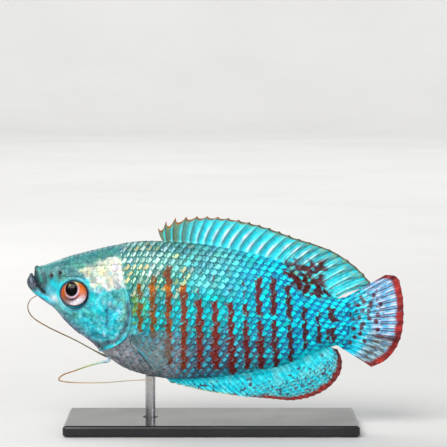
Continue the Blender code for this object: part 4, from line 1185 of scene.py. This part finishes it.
def finMiddle(name, across, out):
    # middle of the sheet, across from the first ray to the last, out from the body to the edge
    plan = finPlans[name]
    if "rays" not in plan:
        x, z = (a + (b - a) * across for a, b in zip(pectoral["top"], pectoral["low"]))
        _, widest, belly, half, _, below = sectionAt(x)
        start = half * np.sqrt(1 - ((widest - z) / (widest - belly)) ** 2) ** below + 0.62
        angle = np.radians(pectoral["from"] + (pectoral["to"] - pectoral["from"]) * across)
        flare = math.radians(pectoral["flare"])
        length = pectoral["length"] * (0.84 + 0.16 * np.sin(math.pi * across)) * out
        reach = length * math.cos(flare)
        y = start + length * math.sin(flare) - 0.35 * ramp(out, 0.12, -0.05)
        y = y + 0.25 * np.sin(math.pi * across) * np.maximum(out, 0) ** 1.5 - 0.5 * out**2
        return np.stack([x + reach * np.cos(angle), plan["side"] * y, z + reach * np.sin(angle)], -1)
    tips = np.array([row[1:] for row in plan["rays"]])
    places = np.concatenate([[0], np.cumsum(np.linalg.norm(np.diff(tips, axis=0), axis=1))])
    base, tipX, tipZ = (curveAt(places, column, across * places[-1]) for column in zip(*plan["rays"]))
    back, _, belly, *_ = sectionAt(base)
    rootX, rootZ = {
        "dorsal_fin": (base, back + 0.3), "anal_fin": (base, belly - 0.3),
        "caudal_fin": (np.full_like(base, 62.6), base),
    }[name]
    alongX, alongZ = tipX - rootX, tipZ - rootZ
    curve = plan["bow"] * 4 * out * (1 - out)
    size, turns, start = plan["wave"]
    y = size * np.sin(2 * math.pi * turns * across + start)
    if name == "caudal_fin":
        y = y - 1.5 * ramp(across, 0.62, 1.0)
    x, z = rootX + alongX * out - alongZ * curve, rootZ + alongZ * out + alongX * curve
    return np.stack([x, y * np.maximum(out, 0) ** 1.5, z], -1)


# Each painter gives colour and opacity; u runs across the fin, v out from the body, f from the nearest ray
def paintDorsal(m):
    u, v, f, d, fine, chance = (m[key] for key in ("u", "v", "f", "d", "fine", "chance"))
    front, back = ramp(u, 0.24, 0.08), ramp(u, 0.52, 0.68)
    # painted highlight: pinkish-white glints of light in stripes on the membranes between the rays
    glintStreak = bump(f, -0.20, 0.12) * bump(v, 0.36 + 0.12 * chance + 0.12 * back, 0.21 + 0.06 * m["chance2"])
    glintStreak = glintStreak * ramp(u, 0.14, 0.3) * ramp(u, 0.86, 0.62)
    lines = np.cos(2 * math.pi * f * 3)
    edge = layers(ink(170, 92, 30), ((104, 76, 22), ramp(u, 0.15, 0.5)))
    colour = layers(
        ink(38, 220, 236), ((46, 150, 170), 0.7 * bump(f, 0.22, 0.13) * ramp(v, 0.95, 0.5) * (1 - back)),
        ((112, 118, 66), 0.85 * front),
        ((60, 226, 236), front * bump(f, -0.2, 0.13 + 0.03 * chance) * ramp(v, 0.9, 0.6)),
        ((96, 244, 252), 0.8 * bump(f, -0.2, 0.22) * ramp(v, 0.95, 0.6) * (1 - front)),
        ((250, 232, 248), glintStreak),
        ((66, 104, 96), 0.55 * back * ramp(lines, 0.2, 0.8) * ramp(v, 0.25, 0.5)),
        ((200, 252, 236), 0.6 * back * ramp(lines, -0.3, -0.9) * ramp(fine, -0.2, 0.4)),
        ((92, 58, 34), 0.9 * bump(d, 0, 0.14) * ramp(v, 0.02, 0.12)),
        ((150, 176, 112), 0.5 * ramp(v, 0.66, 0.9) * ramp(fine, -0.2, 0.5)))
    colour = blend(colour, edge, 0.92 * ramp(m["fromEdge"], 0.62, 0.25))
    along = m["x"] + 0.9 * m["broad"]
    patch = ramp(along, 50.2, 51.4) * ramp(along, 60.5, 58.8) * ramp(m["z"] + 1.1 * m["broad"], 29.0, 27.6)
    patch = patch * ramp(grain(m["x"], m["z"], 0.8, 52), 0.34, 0.16)
    root = ramp(u, 0.62, 0.8) * ramp(v, 0.16, 0.06) * ramp(fine, 0.0, 0.3)
    colour = layers(
        colour, ((84, 5, 4), 0.97 * patch), ((92, 124, 166), 0.7 * patch * ramp(fine, 0.42, 0.6)),
        (tint["maroon"], 0.8 * root))
    return colour, np.ones(u.shape)


def paintAnal(m):
    u, v, f, d, fine, chance = (m[key] for key in ("u", "v", "f", "d", "fine", "chance"))
    streaks = np.cos(2 * math.pi * f * 4 + chance * 2)
    outer = ramp(v, 0.24, 0.46) * ramp(u, 0.3, 0.6)
    dash = np.sin(2 * math.pi * (v * 10.5 + chance * 3))
    dots = ramp(grain(m["x"], m["z"], 0.42, 51), 0.44, 0.58) * ramp(v, 0.08, 0.2)
    olive = ramp(m["fromEdge"], 2.2, 1.3) * ramp(u, 0.35, 0.5)
    colour = layers(
        ink(0, 240, 255), ((10, 104, 168), 0.75 * ramp(streaks, -0.2, -0.8) * ramp(fine, -0.4, 0.3)),
        ((150, 252, 255), 0.55 * ramp(streaks, 0.4, 0.9) * ramp(fine, 0.4, -0.3)),
        ((150, 240, 240), 0.4 * ramp(m["broad"], -0.2, -0.7) + 0.5 * ramp(u, 0.3, 0.1) * ramp(v, 0.3, 0.8)),
        ((30, 40, 92), 0.9 * outer * ramp(dash, 0.0, 0.6) * bump(f, 0.3, 0.22)),
        ((196, 250, 232), 0.85 * outer * ramp(dash, 0.0, -0.6) * bump(f, -0.15, 0.2)),
        ((88, 24, 70), 0.9 * dots), ((18, 108, 140), 0.5 * bump(d, 0, 0.12) * ramp(v, 0.25, 0.5)),
        ((112, 104, 60), 0.5 * olive * (0.5 + 0.5 * fine)))
    red = ramp(m["fromEdge"] + 0.18 * m["broad"], 1.2, 0.8) * ramp(u, 0.34, 0.50)
    colour = blend(colour, layers(ink(158, 24, 8), ((98, 10, 8), ramp(u, 0.75, 1.0))), 0.96 * red)
    pale = 0.85 * ramp(m["fromEdge"], 0.8, 0.2) * ramp(u, 0.36, 0.25)
    return layers(colour, ((216, 222, 168), pale)), np.ones(u.shape)


# middles of the small rings on the tail fin
tailSpots = [
    (63.7, 18.9), (64.1, 15.5), (64.2, 11.6), (66.8, 15.4), (65.8, 19.1), (66.4, 20.6), (68.3, 19.4),
    (64.1, 17.2), (66.0, 16.6), (68.1, 16.4), (66.2, 13.4), (67.9, 17.9), (66.9, 19.8), (69.7, 17.2),
    (69.4, 15.9), (66.5, 14.6), (64.9, 14.4), (70.3, 19.3), (65.1, 12.7), (67.1, 11.9), (69.7, 14.2),
    (65.2, 18.0), (68.9, 21.1), (63.4, 13.4),
]


def paintCaudal(m):
    u, v, f, d, fine, chance = (m[key] for key in ("u", "v", "f", "d", "fine", "chance"))
    dash = np.sin(2 * math.pi * (v * 4.0 + chance * 2))
    rows = np.sin(2 * math.pi * (v * 7.0 + 0.5 * (np.round(u * 14) % 2) + 0.15 * chance))
    speck = ramp(grain(m["x"], m["z"], 0.36, 53), 0.46, 0.60) * ramp(v, 0.10, 0.2) * ramp(v, 0.8, 0.6)
    low = ramp(u + 0.05 * m["broad"], 0.60, 0.70) * ramp(v, 0.40, 0.60)
    off = np.abs(f)
    colour = layers(
        ink(16, 232, 250), ((120, 196, 246), 0.9 * ramp(v, 0.35, 0.62)),
        ((12, 104, 166), 0.7 * ramp(rows, 0.1, 0.6) * ramp(v, 0.36, 0.22) * ramp(fine, 0.5, 0.0)),
        ((236, 238, 255), 0.95 * bump(off, 0.34, 0.11) * ramp(v, 0.22, 0.5) * ramp(dash, -0.9, 0.2)),
        ((12, 104, 164), 0.7 * bump(off, 0.5, 0.11) * ramp(v, 0.75, 0.5) * ramp(fine, 0.35, -0.25)),
        ((16, 110, 168), 0.8 * bump(d, 0, 0.14) * ramp(dash, 0.3, -0.4) * ramp(v, 0.6, 0.4)),
        ((110, 84, 130), 0.7 * bump(off, 0.2, 0.06) * ramp(v, 0.36, 0.6)),
        ((112, 52, 44), 0.85 * bump(d, 0, 0.12) * ramp(v, 0.34, 0.6) * ramp(fine, -0.5, 0.0)),
        ((104, 22, 52), 0.8 * speck), ((104, 84, 52), 0.8 * low * (0.7 + 0.3 * fine)),
        ((176, 236, 236), 0.85 * low * bump(off, 0.34, 0.09) * ramp(dash, -0.5, 0.3) * ramp(v, 0.95, 0.7)),
        ((20, 214, 236), 0.7 * ramp(u, 0.5, 0.7) * ramp(v, 0.45, 0.25)))
    for x, z in tailSpots:
        away = np.hypot(m["x"] - x, m["z"] - z)
        colour = layers(colour, ((96, 20, 40), 0.95 * ramp(np.abs(away - 0.24), 0.26, 0.14)))
    red = ramp(m["fromEdge"] + 0.25 * m["broad"], 1.7, 1.15)
    red = np.maximum(red, ramp(v, 0.62, 0.9) * np.maximum(ramp(u, 0.05, 0.0), ramp(u, 0.93, 1.0)))
    colour = blend(colour, layers(ink(178, 28, 4), ((130, 10, 4), ramp(m["broad"], -0.3, 0.5))), 0.97 * red)
    fold = bump(u, 0.655, 0.025) * ramp(v, 0.42, 0.7)
    return layers(colour, ((92, 6, 6), 0.85 * fold)), np.ones(u.shape)


def paintPectoral(m):
    u, v = m["u"], m["v"]
    ray = bump(m["d"], 0, 0.15)
    lead = bump(u, 0.99, 0.03) * ramp(v, 1.0, 0.8)
    sheen = bump(u, 0.90, 0.045) * bump(v, 0.35, 0.25)
    colour = layers(
        ink(120, 168, 168), ((70, 150, 160), 0.5 * ramp(v, 0.4, 0.0)), ((84, 78, 70), 0.7 * ray),
        ((40, 190, 224), 0.9 * sheen))
    colour = blend(colour, layers(ink(206, 220, 224), ((44, 50, 66), ramp(v, 0.1, 0.3))), lead)
    alpha = 0.10 + 0.30 * ray * (1 - 0.6 * v) + 0.25 * ramp(v, 0.25, 0.0) + 0.6 * lead + 0.5 * sheen
    return colour, np.clip(alpha, 0, 0.95)


def finMaterial(name, clear):
    material, tree, shader = newMaterial(name, {
        "Metallic": 0.0 if clear else 0.1, "Coat Weight": 0.06, "Coat Roughness": 0.15,
        "Specular IOR Level": 0.2,
    })
    fine, broad = noiseAt(tree, 3000, 4), noiseAt(tree, 900, 3)
    base = toned(tree, attribute(tree, "Paint"), spread(tree, broad, 0.60, 0.38), (0.62, 0.78, 0.82))
    base = toned(tree, base, spread(tree, fine, 0.55, 0.72), (0.03, 0.08, 0.08), "ADD")
    finishShader(tree, shader, base, spread(tree, broad, 0.3, 0.7, 0.30, 0.48), fine, 0.00004)
    if clear:
        tree.links.new(attribute(tree, "Opacity", "Fac"), shader.inputs["Alpha"])
    return material


def edgeOfFin(plan, u, v, f, nearest, spiny):
    # how far out the free edge lies, 1 at a full ray: notched between spines, a little uneven elsewhere
    dip = 1 - np.exp(-((np.abs(f) / 0.16) ** 1.4))
    deep = (plan["notch"] - 0.02) * spiny * (1 - 0.65 * ramp(u, 0.08, 0.35))
    notch = (0.02 + deep + 0.24 * (plan["notch"] > 0.1) * ramp(u, 0.17, 0.04)) * dip
    if plan["spiny"] < 0:
        notch = plan["notch"] * dip
    chance = np.random.default_rng(plan["seed"]).uniform(-1, 1, plan["count"] + 1)[nearest]
    uneven = (0.015 if plan["spiny"] > 0 else 0.005) * chance * (1 - spiny) * bump(f, 0, 0.2)
    return 1 - notch + uneven * ramp(v, 0.7, 1.0) * (1 - dip)


def buildFin(name, painter, material, perGap=14, rows=46, sink=0.9):
    plan = finPlans[name]
    gaps = plan["count"] - 1
    across = np.linspace(0, 1, gaps * perGap + 1)
    u, v = np.meshgrid(across, np.linspace(0, 1, rows), indexing="ij")
    nearest = np.round(u * gaps).astype(int)
    f = u * gaps - nearest
    spiny = ramp(u, plan["spiny"] + 0.06, plan["spiny"] - 0.02) if plan["spiny"] > 0 else np.zeros(u.shape)
    reach = edgeOfFin(plan, u, v, f, nearest, spiny)
    length = np.linalg.norm(finMiddle(name, across, 1.0) - finMiddle(name, across, 0.0), axis=1)[:, None]
    middle = finMiddle(name, u, v * reach - (1 - v) ** 6 * sink / length)

    # rays: ridges that branch towards the edge, with fine rings where they are soft
    gapWidth = np.linalg.norm(np.gradient(middle, axis=0), axis=2) * perGap
    branch = 0.17 * ramp(v, 0.42, 0.85) * (1 - spiny)
    radius = (0.185 - 0.115 * v) * (1 - 0.35 * branch / 0.17 * (v > 0.42))
    d = np.minimum(np.abs(f - branch), np.abs(f + branch)) * gapWidth
    ringed = 1 - 0.22 * (1 - spiny) * (np.cos(2 * math.pi * v * 22) > 0.82)
    clear = "pectoral" in name
    half = 0.045 - 0.02 * v + radius * ringed * np.exp(-((d / (radius * 1.05)) ** 2))
    half = half + (0.0 if clear else 0.42 * ramp(v, 0.13, 0.0))
    if name == "caudal_fin":
        half = half + 0.55 * ramp(v, 0.22, 0.02) * np.sin(math.pi * np.clip(u, 0.02, 0.98)) ** 0.6
    half = 0.02 + (half - 0.02) * (0.35 + 0.65 * ramp(v, 1.0, 0.985))
    normal = unit(np.cross(np.gradient(middle, axis=0), np.gradient(middle, axis=1)))
    normal *= np.where(normal[..., 1].mean() > 0, -1.0, 1.0)
    middle = middle + normal * (plan["pleat"] * np.cos(2 * math.pi * f) * ramp(v, 0.05, 0.6))[..., None]
    both = [middle + normal * side * half[..., None] for side in (1, -1)]
    points = world(*np.concatenate([spots.reshape(-1, 3) for spots in both]).T)
    faces = sheetFaces(*u.shape)
    a, b, c = (points[faces[0][len(faces[0]) // 2][k]] for k in (0, 1, 2))
    if np.dot(np.cross(b - a, c - a), normal[u.shape[0] // 2, u.shape[1] // 2]) < 0:
        faces = [group[:, ::-1] for group in faces]
    fin = makeMesh(name + "_dressed", points, faces)
    x, z = middle[..., 0], middle[..., 2]
    chances = np.random.default_rng(77 + plan["seed"]).uniform(-1, 1, (2, gaps + 2))
    colour, opacity = painter({
        "u": u, "v": v, "f": f, "d": d, "x": x, "z": z, "fromEdge": (1 - v) * length * reach,
        "chance": chances[0][np.floor(u * gaps + 0.5).astype(int)], "chance2": chances[1][nearest],
        "broad": grain(x, z, 1.3, 41), "fine": grain(x, z, 0.4, 42),
    })
    addColour(fin, "Paint", np.concatenate([colour.reshape(-1, 3)] * 2))
    if clear:
        addValue(fin, "Opacity", np.concatenate([opacity.ravel()] * 2))
    mapped = np.stack([u, v * 0.48 + 0.005], -1).reshape(-1, 2)
    addMap(fin, np.concatenate([mapped, mapped + (0, 0.505)]))
    fin.data.materials.append(material)
    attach(fin, "root")
    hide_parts(name)
    print(name, "faces:", len(fin.data.polygons))


brightFin = finMaterial("TurquoiseFin", False)
buildFin("dorsal_fin", paintDorsal, brightFin)
buildFin("anal_fin", paintAnal, brightFin, perGap=12)
buildFin("caudal_fin", paintCaudal, brightFin, perGap=18, rows=56)
clearFin = finMaterial("ClearFin", True)
buildFin("pectoral_fin_left", paintPectoral, clearFin, sink=0.6)
buildFin("pectoral_fin_right", paintPectoral, clearFin, sink=0.6)


# Eyes: a glossy ball in each socket, its iris painted round the pupil, with two painted reflections on it
def paintEye(dx, dz):
    away, angle = np.hypot(dx, dz), np.degrees(np.arctan2(dz, dx))
    fromPupil = np.hypot(dx + 0.47, (dz - 1.14) * 0.88)
    turn = np.degrees(np.arctan2(dz - 1.14, dx + 0.47))
    toRim = np.hypot(dx, (dz - 0.22) * 1.10)
    grainy = grain(angle / 7.0 + 30, away * 2.2 + 9, 1.0, 61)

    def around(middle, width, given=angle):
        return np.exp(-((((given - middle + 180) % 360) - 180) / width) ** 2)

    lower = np.minimum(1, 1.5 * around(-64, 48)) * ramp(toRim, 1.05, 1.30) * ramp(toRim, 2.58, 2.40)
    colour = layers(
        ink(196, 84, 16), ((198, 74, 8), 0.9 * around(132, 30)), ((160, 88, 20), 0.8 * around(205, 34)),
        # the second colour on the next line is a painted reflection: a yellow-green glint at the top of the
        # pupil
        ((230, 112, 14), around(28, 36)), ((206, 214, 110), around(80, 13) * ramp(fromPupil, 1.2, 1.32)),
        ((116, 92, 96), 0.9 * around(-125, 30) * ramp(toRim, 1.2, 1.9)), ((255, 244, 255), lower),
        ((226, 216, 244), bump(fromPupil, 1.38, 0.20) * around(-50, 74, turn)),
        ((34, 18, 44), bump(fromPupil, 1.82, 0.24) * around(-86, 38, turn)),
        ((230, 210, 190), 0.45 * bump(fromPupil, 1.28, 0.09) * around(190, 60, turn)))
    return layers(
        colour * (1 + 0.24 * grainy)[..., None], ((74, 88, 108), 0.9 * ramp(toRim, 2.46, 2.58)),
        ((26, 32, 44), 0.9 * ramp(toRim, 2.68, 2.76)), ((34, 158, 176), ramp(toRim, 2.84, 2.92)),
        ((2, 2, 3), ramp(fromPupil, 1.28, 1.18)),
        # painted reflection: a small olive glint in the upper front of the pupil
        ((150, 150, 60), 0.9 * ramp(np.hypot(dx + 0.80, (dz - 1.95) * 0.8), 0.26, 0.10)))


def buildEye(name, side):
    rings, around, last = 56, 96, 1.72
    turn = roundAngles(around)
    p, t = np.meshgrid(np.linspace(0.02, last, rings), turn, indexing="ij")
    dx, dz = eye["radius"] * np.sin(p) * np.cos(t), eye["radius"] * np.sin(p) * np.sin(t)
    y = side * (eye["centreY"] + eye["depth"] * np.cos(p))
    spots = np.stack([eye["at"][0] + dx, y, eye["at"][1] + dz], -1)
    faces = closedRings(rings, around)
    if side > 0:
        faces = [group[:, ::-1] for group in faces]
    ball = makeMesh(name + "_dressed", world(*withEnds(spots).T), faces)
    addColour(ball, "Paint", withEnds(paintEye(dx, dz)))
    addMap(ball, withEnds(np.stack([0.5 + 0.48 * (p / last) * way(t) for way in (np.cos, np.sin)], -1)))
    material, tree, shader = newMaterial(name + "Gloss", {
        "Coat Weight": 0.14, "Coat Roughness": 0.04, "Specular IOR Level": 0.1,
    })
    fine = noiseAt(tree, 2600, 4)
    base = toned(tree, attribute(tree, "Paint"), spread(tree, fine, 0.58, 0.40), (0.78, 0.76, 0.80))
    finishShader(tree, shader, base, spread(tree, fine, 0.3, 0.7, 0.16, 0.30), fine, 0.00001, 0.3)
    ball.data.materials.append(material)
    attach(ball, "root")
    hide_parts(name)


buildEye("eye_left", -1)
buildEye("eye_right", 1)
print("eyes made")

# Feelers: one long tapered thread each, pale at the root
feelers = {
    "pelvic_feeler_left": {
        "path": [
            (16.4, -1.2, 8.9), (16.0, -1.4, 8.1), (14.6, -1.9, 7.9), (12.0, -2.4, 7.2), (9.6, -3.0, 6.4),
            (7.6, -3.6, 5.8), (6.6, -4.3, 5.2), (6.7, -4.9, 4.7), (8.6, -5.1, 4.4), (11.8, -4.8, 4.25),
            (15.6, -4.2, 4.2), (20.0, -3.6, 4.45), (25.0, -3.2, 4.7),
        ],
        "colours": [
            (0.0, (150, 160, 170)), (0.08, (206, 226, 238)), (0.17, (196, 224, 214)),
            (0.24, (176, 186, 92)), (0.34, (190, 130, 58)), (0.55, (186, 126, 70)),
            (0.8, (204, 176, 128)), (1.0, (196, 160, 120)),
        ],
    },
    "pelvic_feeler_right": {
        "path": [
            (16.2, 1.2, 9.4), (15.8, 1.4, 8.7), (14.6, 1.9, 9.0), (12.2, 2.3, 10.2), (9.2, 2.6, 11.8),
            (6.2, 2.8, 13.2), (3.2, 2.9, 14.7), (0.7, 2.9, 16.4), (-0.2, 2.9, 18.2), (0.3, 2.8, 19.8),
            (1.9, 2.6, 20.9),
        ],
        "colours": [
            (0.0, (120, 124, 130)), (0.08, (196, 200, 190)), (0.2, (150, 130, 84)),
            (0.36, (160, 128, 66)), (0.5, (150, 102, 44)), (0.75, (140, 92, 40)), (1.0, (150, 106, 60)),
        ],
    },
}


def buildFeeler(name, plan, material, count=300, around=12):
    shares = np.linspace(0, 1, count)
    line = pathAt(plan["path"], shares)
    ahead = unit(np.gradient(line, axis=0), 0)
    aside = unit(np.cross(ahead, (0.12, 1.0, 0.08)), 0)
    over = np.cross(ahead, aside)
    rings = np.cos(2 * math.pi * shares * 88)  # fine rings along the thread
    radius = 0.13 + 0.20 * ramp(shares, 0.30, 0.04) - 0.05 * ramp(shares, 0.55, 1.0)
    radius = radius * (1 + 0.07 * rings) * (1 - 0.55 * ramp(shares, 0.975, 1.0))
    turn = roundAngles(around)
    ring = np.cos(turn)[None, :, None] * aside[:, None, :] + np.sin(turn)[None, :, None] * over[:, None, :]
    spots = line[:, None, :] + ring * radius[:, None, None]
    thread = makeMesh(name + "_dressed", world(*withEnds(spots).T), closedRings(count, around))
    face = thread.data.polygons[around * 20]
    if face.normal.dot(thread.data.vertices[face.vertices[0]].co - Vector(world(*line[20]))) < 0:
        thread.data.flip_normals()
    stops = [stop for stop, _ in plan["colours"]]
    shades = np.array([ink(*shade) for _, shade in plan["colours"]])
    paint = np.stack([np.interp(shares, stops, column) for column in shades.T], -1)
    paint = paint * (1 - 0.18 * (rings < -0.5))[:, None]
    addColour(thread, "Paint", withEnds(np.repeat(paint[:, None], around, axis=1)))
    mapped = np.stack(np.meshgrid(shares, np.arange(around) / around * 0.96 + 0.02, indexing="ij"), -1)
    addMap(thread, withEnds(mapped))
    thread.data.materials.append(material)
    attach(thread, "root")
    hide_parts(name)


threadMaterial = finMaterial("WetThread", False)
for name, plan in feelers.items():
    buildFeeler(name, plan, threadMaterial)
print("feelers made")


# The stand keeps its solids and gets its own finishes
def finishStand():
    sheet, tree, shader = newMaterial("BlackSheet", {
        "Coat Weight": 0.22, "Coat Roughness": 0.08, "Specular IOR Level": 0.3,
    })
    haze, dust = noiseAt(tree, 60, 3), noiseAt(tree, 1400, 4)
    dark, lighter = (0.008, 0.008, 0.009, 1), (0.016, 0.016, 0.018, 1)
    colour = mixColour(tree, spread(tree, haze, 0.35, 0.65), dark, lighter)
    colour = mixColour(tree, spread(tree, dust, 0.68, 0.78, 0.0, 0.25), colour, (0.10, 0.10, 0.10, 1))
    finishShader(tree, shader, colour, spread(tree, haze, 0.3, 0.7, 0.12, 0.26), dust, 0.00001, 0.2)
    steel, tree, shader = newMaterial("BrushedRod", {"Metallic": 1.0})
    brushed = noiseAt(tree, 900, 4, 0.6, (1, 1, 14))
    colour = mixColour(tree, spread(tree, brushed, 0.35, 0.65), (0.42, 0.42, 0.43, 1), (0.62, 0.62, 0.62, 1))
    finishShader(tree, shader, colour, spread(tree, brushed, 0.3, 0.7, 0.22, 0.40), brushed, 0.00002, 0.4)
    for name, material in (("stand_base", sheet), ("stand_rod", steel)):
        nodes[name].data.materials.clear()
        nodes[name].data.materials.append(material)


finishStand()
print("stand finished")


# Floor, backdrop, light and camera
studio = {
    "frameCentre": (2.39, 40.9),
    "frameWidth": 88.7,
    "away": 450.0,
    "raise": 4.5,
    "filmWidth": 36.0,
    "floorColour": (0.66, 0.655, 0.64, 1),
    "floorBelow": 0.0001,
    "lights": {
        # place, aim, width, height, power, colour
        "keyLight": ((-0.20, -0.42, 0.50), (0.0, 0.0, 0.024), 0.44, 0.34, 4.2, (1.0, 0.985, 0.96)),
        "fillLight": ((0.40, -0.46, 0.20), (0.0, 0.0, 0.024), 0.36, 0.36, 1.0, (0.95, 0.98, 1.0)),
        "rearLight": ((-0.25, 0.34, 0.34), (0.0, 0.0, 0.024), 0.26, 0.26, 0.9, (1.0, 0.99, 0.97)),
        "wallLight": ((0.0, 0.5, 1.2), (0.0, 2.0, 0.45), 1.6, 0.6, 26.0, (1.0, 1.0, 1.0)),
    },
}


def buildFloor():
    # a round sheet that curves up all round, far outside every view's camera
    around, below = 72, studio["floorBelow"]
    bend = np.linspace(0, math.pi / 2, 14)
    radius = np.concatenate([[0.2, 0.6, 1.2], 1.5 + 0.5 * np.sin(bend), [2.0]])
    height = np.concatenate([[0.0, 0.0, 0.0], 0.5 - 0.5 * np.cos(bend), [1.1]])
    turn = roundAngles(around)
    tall = np.repeat(height[:, None] - below, around, axis=1)
    rings = np.stack([radius[:, None] * np.cos(turn), radius[:, None] * np.sin(turn), tall], -1)
    points = np.concatenate([rings.reshape(-1, 3), [[0, 0, -below]]])
    quads, _ = closedRings(len(radius), around)
    k = np.arange(around)
    middle = np.stack([np.full(around, len(points) - 1), k, (k + 1) % around], -1)
    floor = makeMesh("floor", points, [quads[:, ::-1], middle])
    material, tree, shader = newMaterial("PaleSheet", {"Roughness": 0.6})
    soft = noiseAt(tree, 9, 4)
    colour = mixColour(tree, spread(tree, soft, 0.35, 0.65), studio["floorColour"], (0.63, 0.625, 0.615, 1))
    finishShader(tree, shader, colour, spread(tree, soft, 0.3, 0.7, 0.5, 0.7), soft, 0.0002, 0.1)
    floor.data.materials.append(material)


def addLight(name, at, towards, width, height, power, colour):
    lamp = bpy.data.lights.new(name, "AREA")
    lamp.shape, lamp.size, lamp.size_y = "RECTANGLE", width, height
    lamp.energy, lamp.color = power, colour
    held = bpy.data.objects.new(name, lamp)
    held.location = at
    held.rotation_euler = (Vector(towards) - Vector(at)).to_track_quat("-Z", "Y").to_euler()
    bpy.context.scene.collection.objects.link(held)


def buildStudio():
    buildFloor()
    for name, plan in studio["lights"].items():
        addLight(name, *plan)
    room = bpy.data.worlds.new("softRoom")
    room.use_nodes = True
    background = room.node_tree.nodes["Background"]
    background.inputs["Color"].default_value = (0.93, 0.95, 1.0, 1)
    background.inputs["Strength"].default_value = 0.36
    bpy.context.scene.world = room
    bpy.context.scene.view_settings.view_transform = "Standard"

    lens = bpy.data.cameras.new("camera")
    lens.sensor_width = studio["filmWidth"]
    lens.lens = studio["away"] * studio["filmWidth"] / studio["frameWidth"]
    lens.clip_start, lens.clip_end = 0.01, 20.0
    camera = bpy.data.objects.new("camera", lens)
    tilt = math.radians(studio["raise"])
    x, z = studio["frameCentre"]
    aim = Vector((x, 0.0, z)) * mm
    camera.location = aim + Vector((0.0, -math.cos(tilt), math.sin(tilt))) * studio["away"] * mm
    camera.rotation_euler = (aim - camera.location).to_track_quat("-Z", "Y").to_euler()
    bpy.context.scene.collection.objects.link(camera)
    bpy.context.scene.camera = camera


buildStudio()
print("studio ready")
